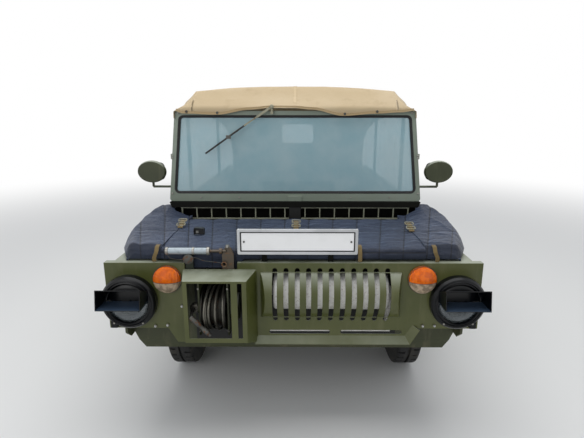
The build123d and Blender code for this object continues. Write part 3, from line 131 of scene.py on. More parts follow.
class Graph:
    """Node tree of one finish, with short calls for what the finishes share."""

    def __init__(self, name: str) -> None:
        """Start the material with its shader and its object coordinates."""
        self.material = bpy.data.materials.new(name)
        self.material.use_nodes = True
        self.tree = self.material.node_tree
        self.shader = self.tree.nodes["Principled BSDF"]
        self.place = self.add("ShaderNodeTexCoord").outputs["Object"]

    def add(self, kind: str, **settings: object) -> bpy.types.Node:
        """New node with some of its settings changed."""
        node = self.tree.nodes.new(kind)
        for key, value in settings.items():
            setattr(node, key, value)
        return node

    def feed(self, socket: NodeSocket, value: object) -> None:
        """Link a socket into another, or set a plain value on it."""
        if isinstance(value, NodeSocket):
            self.tree.links.new(value, socket)
        elif isinstance(value, tuple) and len(value) == 3 and socket.type == "RGBA":
            socket.default_value = (*value, 1.0)
        else:
            socket.default_value = value

    def uv(self) -> NodeSocket:
        """The piece's own flat coordinates, in metres of cloth."""
        return self.add("ShaderNodeTexCoord").outputs["UV"]

    def stretched(self, scale: Colour, place: NodeSocket | None = None) -> NodeSocket:
        """Coordinates scaled along each axis."""
        node = self.add("ShaderNodeMapping")
        self.feed(node.inputs["Vector"], place or self.place)
        node.inputs["Scale"].default_value = scale
        return node.outputs["Vector"]

    def noise(self, scale: float, detail: float = 4.0, place: NodeSocket | None = None) -> NodeSocket:
        """Cloudy pattern from 0 to 1."""
        node = self.add("ShaderNodeTexNoise")
        self.feed(node.inputs["Vector"], place or self.place)
        node.inputs["Scale"].default_value = scale
        node.inputs["Detail"].default_value = detail
        return node.outputs["Fac"]

    def wave(self, pitch: float, direction: str, place: NodeSocket) -> NodeSocket:
        """Even bands with a pitch in metres along X or Y of the given coordinates."""
        node = self.add("ShaderNodeTexWave", bands_direction=direction)
        self.feed(node.inputs["Vector"], place)
        node.inputs["Scale"].default_value = math.pi / 10 / pitch
        return node.outputs["Fac"]

    def step(self, value: NodeSocket, low: float, high: float) -> NodeSocket:
        """Smooth mask that rises from 0 at low to 1 at high."""
        node = self.add("ShaderNodeMapRange", interpolation_type="SMOOTHSTEP")
        self.feed(node.inputs["Value"], value)
        node.inputs["From Min"].default_value = low
        node.inputs["From Max"].default_value = high
        return node.outputs["Result"]

    def maths(self, operation: str, first: object, second: object = 0.0) -> NodeSocket:
        """Arithmetic on two values."""
        node = self.add("ShaderNodeMath", operation=operation)
        self.feed(node.inputs[0], first)
        self.feed(node.inputs[1], second)
        return node.outputs[0]

    def mix(self, share: object, first: object, second: object) -> NodeSocket:
        """Colour between two colours."""
        node = self.add("ShaderNodeMix", data_type="RGBA")
        self.feed(node.inputs["Factor"], share)
        self.feed(node.inputs[6], first)
        self.feed(node.inputs[7], second)
        return node.outputs[2]

    def axis(self, vector: NodeSocket, name: str) -> NodeSocket:
        """One part, X, Y or Z, of a vector."""
        node = self.add("ShaderNodeSeparateXYZ")
        self.feed(node.inputs[0], vector)
        return node.outputs[name]

    def bump(self, height: NodeSocket, depth: float, base: NodeSocket | None = None) -> NodeSocket:
        """Normal pushed about by a height pattern of a depth in metres."""
        node = self.add("ShaderNodeBump")
        self.feed(node.inputs["Height"], height)
        node.inputs["Distance"].default_value = depth
        if base is not None:
            self.feed(node.inputs["Normal"], base)
        return node.outputs["Normal"]

    def rounded(self, radius: float) -> NodeSocket:
        """Normal that runs round the edges of a pressed sheet."""
        node = self.add("ShaderNodeBevel", samples=4)
        node.inputs["Radius"].default_value = radius
        return node.outputs["Normal"]

    def edges(self, radius: float) -> NodeSocket:
        """Mask from 0 on flat sheet to 1 on a sharp edge."""
        node = self.add("ShaderNodeVectorMath", operation="DOT_PRODUCT")
        self.feed(node.inputs[0], self.rounded(radius))
        self.feed(node.inputs[1], self.add("ShaderNodeNewGeometry").outputs["Normal"])
        return self.maths("SUBTRACT", 1.0, node.outputs["Value"])

    def dress(self, **sockets: object) -> Material:
        """Fill the shader's sockets, named with underscores for spaces, and give the material."""
        for key, value in sockets.items():
            self.feed(self.shader.inputs[key.replace("_", " ")], value)
        return self.material


@dataclass(frozen=True)
class Paint:
    """Sheet metal paint with faded patches, dust with a painted sky sheen on up-facing faces, runs of dirt and worn
    edges.
    """

    name: str
    colour: Colour
    faded: Colour
    roughness: float = 0.42
    dust: float = 0.30
    wear: float = 0.5
    gloss: float = 0.45

    def shade(self, graph: Graph, base: NodeSocket) -> NodeSocket:
        """Colour with painted shade in hollows, which plain paint doesn't have."""
        return base

    def build(self) -> Material:
        """Material of the paint."""
        graph = Graph(self.name)
        patches = graph.step(graph.noise(2.3, 5), 0.38, 0.66)
        base = graph.mix(graph.maths("MULTIPLY", patches, 0.55), self.colour, self.faded)
        runs = graph.step(graph.noise(1.0, 6, graph.stretched((26, 26, 5))), 0.52, 0.72)
        up = graph.axis(graph.add("ShaderNodeTexCoord").outputs["Normal"], "Z")
        # Up-facing faces get dust and a painted sky sheen together, in one pale colour.
        lying_dust_and_sheen = graph.maths("MULTIPLY", graph.step(up, 0.2, 1.0), graph.noise(9, 6))
        dirt = graph.maths("ADD", graph.maths("MULTIPLY", runs, 0.35), graph.maths("MULTIPLY", lying_dust_and_sheen, 0.8))
        dusty = graph.mix(graph.maths("MULTIPLY", runs, self.dust * 0.4), base, DIRT)
        dusty = graph.mix(graph.maths("MULTIPLY", lying_dust_and_sheen, self.dust * 3.8), dusty, DUST_AND_SHEEN)
        worn = graph.step(graph.maths("MULTIPLY", graph.edges(0.004), graph.noise(60, 3)), 0.03, 0.12)
        colour = self.shade(graph, graph.mix(graph.maths("MULTIPLY", worn, self.wear), dusty, self.faded))
        roughness = graph.maths("ADD", graph.maths("MULTIPLY", dirt, 0.35), self.roughness)
        waves = graph.bump(graph.noise(5, 2), 0.004, graph.rounded(0.0025))
        grain = graph.bump(graph.noise(420, 2), 0.00012, waves)
        return graph.dress(Base_Color=colour, Roughness=roughness, Normal=grain, Specular_IOR_Level=self.gloss)


@dataclass(frozen=True)
class ShieldPaint(Paint):
    """Paint with painted shade in one hollow, by default inside the front shield's winch box."""

    # Colour of the painted shade in the hollow.
    inside: Colour = srgb(20, 22, 17)
    front: float = -1.8030
    depth: float = 0.112
    skin: float = 0.0018
    walls: tuple[tuple[str, float, float, int], ...] = (
        ("X", -0.476, -0.500, 1), ("X", -0.200, -0.166, -1), ("Z", 0.532, 0.475, 1), ("Z", 0.821, 0.835, -1))

    def shade(self, graph: Graph, base: NodeSocket) -> NodeSocket:
        """Paint shade on what lies inside four walls, each with its place at the front and at the back and its inner
        side.
        """
        parts = {name: graph.axis(graph.place, name) for name in "XYZ"}
        mask = graph.step(parts["Y"], self.front + self.skin, self.front + self.skin + 0.001)
        back = graph.maths("MULTIPLY", graph.maths("SUBTRACT", parts["Y"], self.front), 1 / self.depth)
        for name, near, far, inner in self.walls:
            wall = graph.maths("ADD", graph.maths("MULTIPLY", back, far - near), near)
            inwards = graph.maths("MULTIPLY", graph.maths("SUBTRACT", parts[name], wall), float(inner))
            mask = graph.maths("MULTIPLY", mask, graph.step(inwards, self.skin, self.skin + 0.001))
        return graph.mix(mask, base, self.inside)


@dataclass(frozen=True)
class LampEnamel:
    """Glossy black enamel of the headlamps, with a colour of its own on the hood's shelf, which on the headlamps is
    painted sky light.
    """

    name: str
    colour: Colour
    dusty: Colour
    shelf: Colour
    shelf_z: float = 0.7038
    shelf_front: float = -1.7450

    def build(self) -> Material:
        """Material of the enamel."""
        graph = Graph(self.name)
        y, z = graph.axis(graph.place, "Y"), graph.axis(graph.place, "Z")
        level = graph.step(graph.maths("ABSOLUTE", graph.maths("SUBTRACT", z, self.shelf_z)), 0.0011, 0.0006)
        ahead = graph.step(y, self.shelf_front + 0.001, self.shelf_front)
        patches = graph.step(graph.noise(14, 6), 0.45, 0.72)
        colour = graph.mix(graph.maths("MULTIPLY", patches, 0.3), self.colour, self.dusty)
        # The shelf's top gets its own colour, which on the headlamps is painted sky light.
        colour = graph.mix(graph.maths("MULTIPLY", level, ahead), colour, self.shelf)
        return graph.dress(Base_Color=colour, Roughness=0.28, Specular_IOR_Level=0.28,
                           Normal=graph.bump(graph.noise(60, 3), 0.0001, graph.rounded(0.0015)))


@dataclass(frozen=True)
class Metal:
    """Bare or plated metal with stains and a rust share."""

    name: str
    colour: Colour
    stain: Colour
    rust: float = 0.1
    roughness: float = 0.38
    metallic: float = 0.85
    scale: float = 40.0

    def build(self) -> Material:
        """Material of the metal."""
        graph = Graph(self.name)
        grime = graph.step(graph.noise(self.scale * 0.4, 6), 0.42, 0.7)
        specks = graph.step(graph.noise(self.scale, 8), 0.62 - self.rust * 0.4, 0.70)
        dull = graph.mix(graph.maths("MULTIPLY", grime, 0.5), self.colour, self.stain)
        colour = graph.mix(graph.maths("MULTIPLY", specks, min(1.0, self.rust * 3)), dull, RUST)
        roughness = graph.maths("ADD", graph.maths("MULTIPLY", specks, 0.3), self.roughness)
        scratches = graph.bump(graph.noise(1.0, 3, graph.stretched((700, 90, 90))), 0.0003)
        return graph.dress(Base_Color=colour, Roughness=roughness, Normal=scratches, Metallic=self.metallic)


@dataclass(frozen=True)
class Cloth:
    """Woven cloth with a thread pitch, faded and stained patches and a soft sheen."""

    name: str
    colour: Colour
    faded: Colour
    stain: Colour
    thread: float = 0.0012
    depth: float = 0.0005
    sheen: float = 0.15
    roughness: float = 0.85

    def sewn(self, graph: Graph, colour: NodeSocket) -> tuple[NodeSocket, NodeSocket | None]:
        """Colour with seams and with painted shade and light on folds, and the folds' normal, neither of which plain
        cloth has.
        """
        return colour, None

    def build(self) -> Material:
        """Material of the cloth, whose threads follow its flat coordinates."""
        graph = Graph(self.name)
        flat = graph.uv()
        warp = graph.wave(self.thread, "X", flat)
        weft = graph.wave(self.thread, "Y", flat)
        weave = graph.maths("MULTIPLY", warp, weft)
        faded = graph.step(graph.noise(3.0, 5), 0.35, 0.7)
        colour = graph.mix(graph.maths("MULTIPLY", faded, 0.6), self.colour, self.faded)
        stains = graph.step(graph.noise(11.0, 7), 0.56, 0.78)
        colour = graph.mix(graph.maths("MULTIPLY", stains, 0.35), colour, self.stain)
        colour, folds = self.sewn(graph, colour)
        thread = graph.mix(graph.maths("MULTIPLY", weave, 0.22), colour, self.stain)
        creases = graph.bump(graph.noise(34, 4), 0.0016, folds)
        normal = graph.bump(weave, self.depth, creases)
        return graph.dress(Base_Color=thread, Normal=normal, Roughness=self.roughness, Sheen_Weight=self.sheen,
                           Specular_IOR_Level=0.25)


@dataclass(frozen=True)
class Moulding:
    """Rubber, plastic or leatherette with fine grain, dust and a gloss of its own."""

    name: str
    colour: Colour
    dusty: Colour
    roughness: float = 0.5
    dust: float = 0.3
    grain: float = 300.0
    depth: float = 0.0002

    def build(self) -> Material:
        """Material of the moulding."""
        graph = Graph(self.name)
        patches = graph.step(graph.noise(14, 6), 0.45, 0.72)
        colour = graph.mix(graph.maths("MULTIPLY", patches, self.dust), self.colour, self.dusty)
        roughness = graph.maths("ADD", graph.maths("MULTIPLY", patches, 0.2), self.roughness)
        normal = graph.bump(graph.noise(self.grain, 3), self.depth, graph.rounded(0.0015))
        return graph.dress(Base_Color=colour, Roughness=roughness, Normal=normal)


@dataclass(frozen=True)
class Clear:
    """Glass or clear plastic with a tint, a haze of dust and a share that light passes."""

    name: str
    colour: Colour
    alpha: float
    roughness: float = 0.04
    ribs: float = 0.0

    def build(self) -> Material:
        """Material of the glass."""
        graph = Graph(self.name)
        haze = graph.step(graph.noise(6, 5), 0.3, 0.8)
        colour = graph.mix(graph.maths("MULTIPLY", haze, 0.25), self.colour, HAZE)
        alpha = graph.maths("ADD", graph.maths("MULTIPLY", haze, 0.10), self.alpha)
        values = {"Base_Color": colour, "Alpha": alpha, "Roughness": self.roughness, "IOR": 1.5}
        if self.ribs:
            values["Normal"] = graph.bump(graph.wave(self.ribs, "X", graph.place), 0.002)
        graph.material.surface_render_method = "BLENDED"
        return graph.dress(**values)


@dataclass(frozen=True)
class SewnCloth(Cloth):
    """Cover cloth with dark lines of thread in its channels, and painted shade and light on the slopes of its folds."""

    first: float = -0.043
    pitch: float = 0.107
    seam_y: float = behind(0.300)
    hem_z: float = 0.909

    def sewn(self, graph: Graph, colour: NodeSocket) -> tuple[NodeSocket, NodeSocket]:
        """Colour with lines of thread, painted shade on the near slopes and painted light on the far slopes of the
        folds, and the folds' normal.
        """
        turned = graph.add("ShaderNodeMapping")
        graph.feed(turned.inputs["Vector"], graph.place)
        turned.inputs["Rotation"].default_value = (0, 0, math.radians(24))
        turned.inputs["Scale"].default_value = (5, 19, 19)
        slanting = graph.bump(graph.noise(1.0, 4, turned.outputs["Vector"]), 0.016)
        folds = graph.bump(graph.noise(17, 5), 0.005, slanting)
        # Painted shade on fold slopes that face forward and painted light on those that face back, from the folds'
        # normal.
        lean = graph.add("ShaderNodeVectorMath", operation="DOT_PRODUCT")
        graph.feed(lean.inputs[0], folds)
        lean.inputs[1].default_value = (0.30, -0.95, 0.0)
        near, far = graph.step(lean.outputs["Value"], 0.12, 0.62), graph.step(lean.outputs["Value"], 0.0, -0.34)
        colour = graph.mix(graph.maths("MULTIPLY", near, 0.62), colour, srgb(22, 27, 38))
        colour = graph.mix(graph.maths("MULTIPLY", far, 0.55), colour, srgb(112, 124, 148))
        return graph.mix(graph.maths("MULTIPLY", self.seams(graph), 0.85), colour, srgb(20, 21, 27)), folds

    def seams(self, graph: Graph) -> NodeSocket:
        """Mask of the lines of thread."""
        x, y, z = (graph.axis(graph.place, name) for name in "XYZ")
        fan = graph.maths("ADD", graph.maths("MULTIPLY", y, SEAM_FAN), 1 - SEAM_FAN * SHIELD_Y)
        fanned = graph.maths("SUBTRACT", graph.maths("DIVIDE", x, fan), self.first)
        across = graph.maths("PINGPONG", fanned, self.pitch / 2)
        row = graph.maths("ABSOLUTE", graph.maths("SUBTRACT", y, self.seam_y))
        low = graph.maths("ADD", graph.maths("ABSOLUTE", graph.maths("SUBTRACT", z, self.hem_z)),
                          graph.step(y, behind(0.034), behind(0.036)))
        nearest = graph.maths("MINIMUM", across, graph.maths("MINIMUM", row, low))
        return graph.maths("SUBTRACT", 1.0, graph.step(nearest, 0.0008, 0.0040))


@dataclass(frozen=True)
class TurnLens:
    """Ribbed plastic lens, amber above its joint and clear below it."""

    name: str
    upper: Colour
    lower: Colour
    joint: float

    def build(self) -> Material:
        """Material of the lens."""
        graph = Graph(self.name)
        above = graph.step(graph.axis(graph.place, "Z"), self.joint - 0.0012, self.joint + 0.0012)
        deep = graph.step(graph.noise(46, 2), 0.40, 0.62)
        upper = graph.mix(graph.maths("MULTIPLY", deep, 0.45), self.upper, srgb(196, 66, 0))
        lower = graph.mix(graph.maths("MULTIPLY", deep, 0.75), self.lower, srgb(128, 112, 94))
        ribs = graph.bump(graph.wave(0.0055, "X", graph.place), 0.002)
        colour = graph.mix(above, lower, upper)
        return graph.dress(Base_Color=colour, Roughness=0.14, Normal=ribs, Specular_IOR_Level=0.4)


@dataclass(frozen=True)
class Grille:
    """Pale painted blades with a black plate between the two halves."""

    name: str
    blade: Colour
    plate: Colour
    half: float

    def build(self) -> Material:
        """Material of the grille."""
        graph = Graph(self.name)
        across = graph.maths("ABSOLUTE", graph.axis(graph.place, "X"))
        dust = graph.step(graph.noise(30, 5), 0.4, 0.7)
        blade = graph.mix(graph.maths("MULTIPLY", dust, 0.4), self.blade, srgb(96, 92, 78))
        colour = graph.mix(graph.step(across, self.half, self.half + 0.001), self.plate, blade)
        return graph.dress(Base_Color=colour, Roughness=0.5, Normal=graph.rounded(0.001))


@dataclass(frozen=True)
class GuideMetal:
    """Cable guide: grey tube, green post and rusted ironwork, divided by where they stand."""

    name: str
    tube: Colour
    post: Colour
    iron: Colour
    tube_low: float = 0.9055
    tube_end: float = -0.374
    post_end: float = -0.440

    def build(self) -> Material:
        """Material of the guide."""
        graph = Graph(self.name)
        x, z = graph.axis(graph.place, "X"), graph.axis(graph.place, "Z")
        raised = graph.step(z, self.tube_low - 0.0005, self.tube_low + 0.0005)
        left_of_end = graph.maths("SUBTRACT", 1.0, graph.step(x, self.tube_end - 0.0005, self.tube_end + 0.0005))
        on_post = graph.maths("SUBTRACT", 1.0, graph.step(x, self.post_end - 0.001, self.post_end + 0.001))
        rust = graph.step(graph.noise(60, 7), 0.48, 0.72)
        iron = graph.mix(rust, self.iron, srgb(104, 78, 56))
        lower = graph.mix(on_post, iron, self.post)
        tube = graph.mix(graph.maths("MULTIPLY", rust, 0.35), self.tube, srgb(96, 98, 98))
        colour = graph.mix(graph.maths("MULTIPLY", raised, left_of_end), lower, tube)
        pits = graph.bump(graph.noise(260, 4), 0.0003)
        return graph.dress(Base_Color=colour, Roughness=0.45, Metallic=0.4, Normal=pits)


OLIVE = Paint("olive_paint", srgb(73, 78, 39), srgb(94, 96, 57), 0.30, 0.24, 0.6).build()
# The shield's paint has painted shade inside its winch box.
SHIELD_OLIVE_AND_SHADE = ShieldPaint("shield_paint_and_shade", srgb(72, 77, 38), srgb(95, 97, 58), 0.28, 0.24, 0.7).build()
# The windscreen frame's pale olive-grey is partly faded paint and partly a painted sky reflection.
FRAME_OLIVE = Paint("faded_olive_and_sheen", srgb(126, 136, 122), srgb(146, 156, 144), 0.42, 0.22, 0.6).build()
DARK_GREEN = Paint("dark_green_paint", srgb(50, 55, 34), srgb(76, 80, 54), 0.46, 0.26, 0.5).build()
# Near-black green paint; on the cowl it also stands in for the shade in the recessed intake.
BLACK_GREEN = Paint("black_green_paint_and_shade", srgb(12, 13, 9), srgb(20, 20, 15), 0.6, 0.0, 0.0, 0.10).build()
# The headlamps' pale blue-grey shelf colour is painted sky light.
LAMP_ENAMEL_LIT_SHELF = LampEnamel("lamp_enamel_lit_shelf", srgb(8, 11, 15), srgb(20, 25, 31), srgb(60, 74, 92)).build()
# The bow's walls are reckoned from far ahead of it, and the third one slopes: z = 0.480 - 0.55 (y + 1.691).
BOW_WALLS = (("X", -0.495, -0.495, 1), ("X", 0.515, 0.515, -1), ("Z", 4.500, 4.4384, 1), ("Z", 0.875, 0.875, -1))
# The bow's paint has near-black painted shade inside the winch box and behind the shield's slots.
BOW_PAINT_AND_SHADE = ShieldPaint("bow_paint_and_shade", srgb(56, 60, 37), srgb(78, 79, 57), 0.55, 0.4, 0.6, inside=srgb(10, 11, 9),
                        front=-9.0, walls=BOW_WALLS).build()
UNDERSIDE = Paint("underside_paint", srgb(56, 60, 37), srgb(78, 79, 57), 0.55, 0.4, 0.6).build()
BLACK_ENAMEL = LampEnamel("black_enamel", srgb(8, 11, 15), srgb(20, 25, 31), srgb(20, 25, 31)).build()
# Near white, lighter than the silver paint, as painted light on the muffler that sits in shade behind the shield.
SILVER = Metal("silver_heat_paint_and_light", srgb(250, 248, 244), srgb(226, 221, 214), 0.14, 0.45, 0.0, 120).build()
STEEL = Metal("worn_steel", srgb(150, 148, 142), srgb(96, 92, 86), 0.12, 0.40, 0.8, 60).build()
DARK_STEEL = Metal("dark_steel", srgb(84, 84, 80), srgb(50, 48, 44), 0.25, 0.5, 0.7, 60).build()
RUSTY = Metal("rusted_steel", srgb(118, 98, 78), srgb(88, 66, 50), 0.5, 0.6, 0.4, 90).build()
CAST = Metal("cast_metal", srgb(112, 112, 108), srgb(70, 68, 64), 0.12, 0.55, 0.6, 30).build()
TYRE = Moulding("tyre_rubber", srgb(36, 36, 36), srgb(92, 88, 80), 0.72, 0.45, 500, 0.0004).build()
GASKET = Moulding("black_rubber", srgb(20, 20, 21), srgb(58, 58, 56), 0.5, 0.3, 400).build()
BLACK_PLASTIC = Moulding("black_plastic", srgb(26, 26, 27), srgb(60, 58, 55), 0.42, 0.25, 500).build()
LEATHERETTE = Moulding("dark_leatherette", srgb(52, 47, 42), srgb(88, 80, 70), 0.55, 0.35, 220, 0.0006).build()
CANVAS = Cloth("tan_canvas", srgb(198, 177, 142), srgb(211, 192, 160), srgb(156, 130, 94), 0.0016, 0.0005).build()
HEM = Cloth("tan_hem", srgb(182, 158, 120), srgb(196, 174, 138), srgb(134, 110, 78), 0.0016, 0.0006).build()
QUILT = SewnCloth("slate_cover_cloth", srgb(48, 57, 76), srgb(70, 80, 102), srgb(34, 40, 54), 0.0012, 0.0004,
                  0.05, 0.45).build()
HEM_METAL = Metal("tan_painted_steel", srgb(150, 147, 126), srgb(92, 88, 72), 0.12, 0.5, 0.2, 50).build()
STITCH = Cloth("canvas_thread", srgb(140, 116, 82), srgb(158, 134, 98), srgb(110, 88, 60), 0.0008, 0.0002).build()
CABLE = Metal("greased_cable", srgb(104, 102, 94), srgb(50, 46, 38), 0.06, 0.38, 0.7, 90).build()
OILY_STEEL = Metal("oily_steel", srgb(40, 39, 34), srgb(24, 23, 20), 0.06, 0.45, 0.6, 60).build()
MIRROR = Metal("mirror_silver", srgb(214, 218, 220), srgb(190, 194, 196), 0.0, 0.04, 1.0, 6).build()
WEBBING = Cloth("tan_webbing", srgb(108, 92, 60), srgb(128, 110, 76), srgb(74, 60, 38), 0.0024, 0.0010).build()
PLATE = Moulding("plate_white", srgb(250, 250, 250), srgb(232, 232, 230), 0.35, 0.25, 200, 0.00005).build()
PLATE_BLACK = Moulding("plate_black", srgb(24, 24, 26), srgb(48, 48, 48), 0.4, 0.2).build()
HOLDER = Metal("silver_holder", srgb(196, 198, 200), srgb(160, 162, 164), 0.02, 0.32, 0.7, 20).build()
AMBER = Clear("amber_lens", srgb(255, 132, 20), 0.90, 0.08, 0.006).build()
CLEAR_LENS = Clear("clear_lens", srgb(226, 222, 214), 0.45, 0.06, 0.006).build()
RED_LENS = Clear("red_lens", srgb(168, 22, 16), 0.94, 0.10, 0.006).build()
# The pale blue base colour with a high alpha is a tint together with a painted sky reflection on the windscreen.
SCREEN_GLASS = Clear("screen_glass_and_reflection", srgb(158, 196, 206), 0.70, 0.03).build()
TURN_LENS = TurnLens("turn_lens", srgb(252, 118, 0), srgb(206, 182, 156), 0.7845).build()
GRILLE = Grille("grille_paint", srgb(150, 152, 132), srgb(16, 17, 15), 0.036).build()
GUIDE = GuideMetal("guide_metal", srgb(158, 168, 174), srgb(40, 46, 36), srgb(84, 76, 66)).build()
LAMP_GLASS = Clear("lamp_glass", srgb(70, 80, 86), 0.30, 0.02).build()
REFLECTOR = Metal("dull_reflector", srgb(120, 124, 128), srgb(60, 62, 64), 0.02, 0.18, 0.95, 20).build()
DIAL_WHITE = Moulding("dial_white", srgb(224, 224, 216), srgb(190, 188, 176), 0.5, 0.2).build()
ENGINE_GREY = Metal("engine_grey", srgb(92, 94, 90), srgb(54, 54, 50), 0.15, 0.6, 0.4, 14).build()


class Shape(Enum):
    """Small solids that the repeating tree can lay out."""

    BLOCK = "block"
    HEX = "hex"
    DISC = "disc"
    DOME = "dome"


@dataclass(frozen=True)
class Place:
    """Point where a small solid stands, the way that it faces and the way that its length runs."""

    point: Vector
    facing: Vector
    length: Vector = X


class NodeTree:
    """Geometry Nodes tree with named inputs, turned into a plain mesh once it has been evaluated."""

    def __init__(self, name: str, inputs: dict[str, float]) -> None:
        """Start a tree whose modifier takes a mesh, a material and the named sizes."""
        self.tree = bpy.data.node_groups.new(name, "GeometryNodeTree")
        face = self.tree.interface
        face.new_socket(name="Geometry", in_out="INPUT", socket_type="NodeSocketGeometry")
        self.sockets = {"Finish": face.new_socket(name="Finish", in_out="INPUT", socket_type="NodeSocketMaterial")}
        for key, value in inputs.items():
            self.sockets[key] = face.new_socket(name=key, in_out="INPUT", socket_type="NodeSocketFloat")
            self.sockets[key].default_value = value
        face.new_socket(name="Geometry", in_out="OUTPUT", socket_type="NodeSocketGeometry")
        self.given = self.tree.nodes.new("NodeGroupInput").outputs
        self.result = self.tree.nodes.new("NodeGroupOutput").inputs["Geometry"]

    def add(self, kind: str, inputs: dict[object, object] | None = None, **settings: object) -> bpy.types.NodeOutputs:
        """New node with its settings and inputs.

        Args:
            kind: Blender's name for the node.
            inputs: input name or number to a plain value or another node's output.
            settings: the node's own options.

        Returns:
            The node's outputs.
        """
        node = self.tree.nodes.new(kind)
        for key, value in settings.items():
            setattr(node, key, value)
        for key, value in (inputs or {}).items():
            if isinstance(value, NodeSocket):
                self.tree.links.new(value, node.inputs[key])
            else:
                node.inputs[key].default_value = value
        return node.outputs

    def attribute(self, name: str) -> NodeSocket:
        """Vector that each point of the given mesh carries."""
        return self.add("GeometryNodeInputNamedAttribute", {"Name": name}, data_type="FLOAT_VECTOR")["Attribute"]

    def close(self, geometry: NodeSocket) -> None:
        """End the tree by realizing the instances and setting their material."""
        whole = self.add("GeometryNodeRealizeInstances", {"Geometry": geometry})["Geometry"]
        done = self.add("GeometryNodeSetMaterial", {"Geometry": whole, "Material": self.given["Finish"]})["Geometry"]
        self.tree.links.new(done, self.result)

    def plain_mesh(self, name: str, source: Mesh, finish: Material, **sizes: float) -> Mesh:
        """Run the tree on a mesh.

        Args:
            name: name of the new mesh.
            source: points or edges that the tree reads.
            finish: material of the result.
            sizes: values of the named inputs.

        Returns:
            A mesh with no modifier left on it.
        """
        holder = bpy.data.objects.new(name + "_source", source)
        bpy.context.scene.collection.objects.link(holder)
        modifier = holder.modifiers.new("nodes", "NODES")
        modifier.node_group = self.tree
        modifier[self.sockets["Finish"].identifier] = finish
        for key, value in sizes.items():
            modifier[self.sockets[key].identifier] = value
        graph = bpy.context.evaluated_depsgraph_get()
        mesh = bpy.data.meshes.new_from_object(holder.evaluated_get(graph), depsgraph=graph)
        holder.modifiers.remove(modifier)
        bpy.data.objects.remove(holder)
        mesh.name = name
        return mesh


def repeating_tree(shape: Shape) -> NodeTree:
    """Tree that stands one small solid on each point, with its length, width, height and taper as inputs."""
    tree = NodeTree(f"repeat_{shape.value}", {"Length": 0.01, "Width": 0.01, "Height": 0.005, "Taper": 0.9})
    root_half = 0.5
    if shape is Shape.DOME:
        solid = tree.add("GeometryNodeMeshUVSphere", {"Segments": 12, "Rings": 6, "Radius": root_half})["Mesh"]
    else:
        sides = {Shape.BLOCK: 4, Shape.HEX: 6, Shape.DISC: 20}[shape]
        widen = root_half / math.cos(math.pi / sides) if shape is Shape.BLOCK else root_half
        top = tree.add("ShaderNodeMath", {0: tree.given["Taper"], 1: widen}, operation="MULTIPLY")["Value"]
        cone = {"Vertices": sides, "Radius Top": top, "Radius Bottom": widen, "Depth": 1.0}
        solid = tree.add("GeometryNodeMeshCone", cone)["Mesh"]
        turn = (0, 0, math.pi / sides if shape is Shape.BLOCK else 0)
        solid = tree.add("GeometryNodeTransform", {"Geometry": solid, "Rotation": turn})["Geometry"]
    sizes = {axis: tree.given[key] for axis, key in zip("XYZ", ("Length", "Width", "Height"))}
    size = tree.add("ShaderNodeCombineXYZ", sizes)["Vector"]
    solid = tree.add("GeometryNodeTransform", {"Geometry": solid, "Scale": size})["Geometry"]
    stand = tree.add("FunctionNodeAlignRotationToVector", {"Vector": tree.attribute("facing")}, axis="Z")["Rotation"]
    turned = tree.add("FunctionNodeAlignRotationToVector", {"Rotation": stand, "Vector": tree.attribute("length")},
                      axis="X", pivot_axis="Z")["Rotation"]
    laid = {"Points": tree.given["Geometry"], "Instance": solid, "Rotation": turned}
    tree.close(tree.add("GeometryNodeInstanceOnPoints", laid)["Instances"])
    return tree


def tube_tree() -> NodeTree:
    """Tree that runs a round section along the edges of a mesh, with its radius as an input."""
    tree = NodeTree("swept_tube", {"Radius": 0.005})
    line = tree.add("GeometryNodeMeshToCurve", {"Mesh": tree.given["Geometry"]})["Curve"]
    ring = tree.add("GeometryNodeCurvePrimitiveCircle", {"Resolution": 10, "Radius": tree.given["Radius"]})["Curve"]
    tube = tree.add("GeometryNodeCurveToMesh", {"Curve": line, "Profile Curve": ring, "Fill Caps": True})["Mesh"]
    smooth = tree.add("GeometryNodeSetShadeSmooth", {"Geometry": tube})["Geometry"]
    tree.close(smooth)
    return tree


REPEATS = {shape: repeating_tree(shape) for shape in Shape}
TUBES = tube_tree()


def shown(mesh: Mesh, body: str) -> Object:
    """Put a finished mesh in the scene on a body."""
    piece = bpy.data.objects.new(mesh.name, mesh)
    bpy.context.scene.collection.objects.link(piece)
    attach(piece, body)
    LOG.info("%s: %d faces on %s", piece.name, len(mesh.polygons), body)
    return piece


def repeat(name: str, places: Iterable[Place], shape: Shape, size: Colour, finish: Material,
           body: str = "chassis", taper: float = 0.9) -> Object:
    """One piece of many small solids.

    Args:
        name: name of the piece.
        places: where each one stands.
        shape: which solid it is.
        size: its length, width and height in metres.
        finish: its material.
        body: the body that it moves with.
        taper: width of its outer end as a share of its root.

    Returns:
        The piece.
    """
    places = list(places)
    points = bpy.data.meshes.new(name + "_points")
    points.from_pydata([place.point for place in places], [], [])
    for key, values in (("facing", [p.facing for p in places]), ("length", [p.length for p in places])):
        attribute = points.attributes.new(key, "FLOAT_VECTOR", "POINT")
        attribute.data.foreach_set("vector", [part for value in values for part in value])
    length, width, height = size
    mesh = REPEATS[shape].plain_mesh(name, points, finish, Length=length, Width=width, Height=height, Taper=taper)
    return shown(mesh, body)


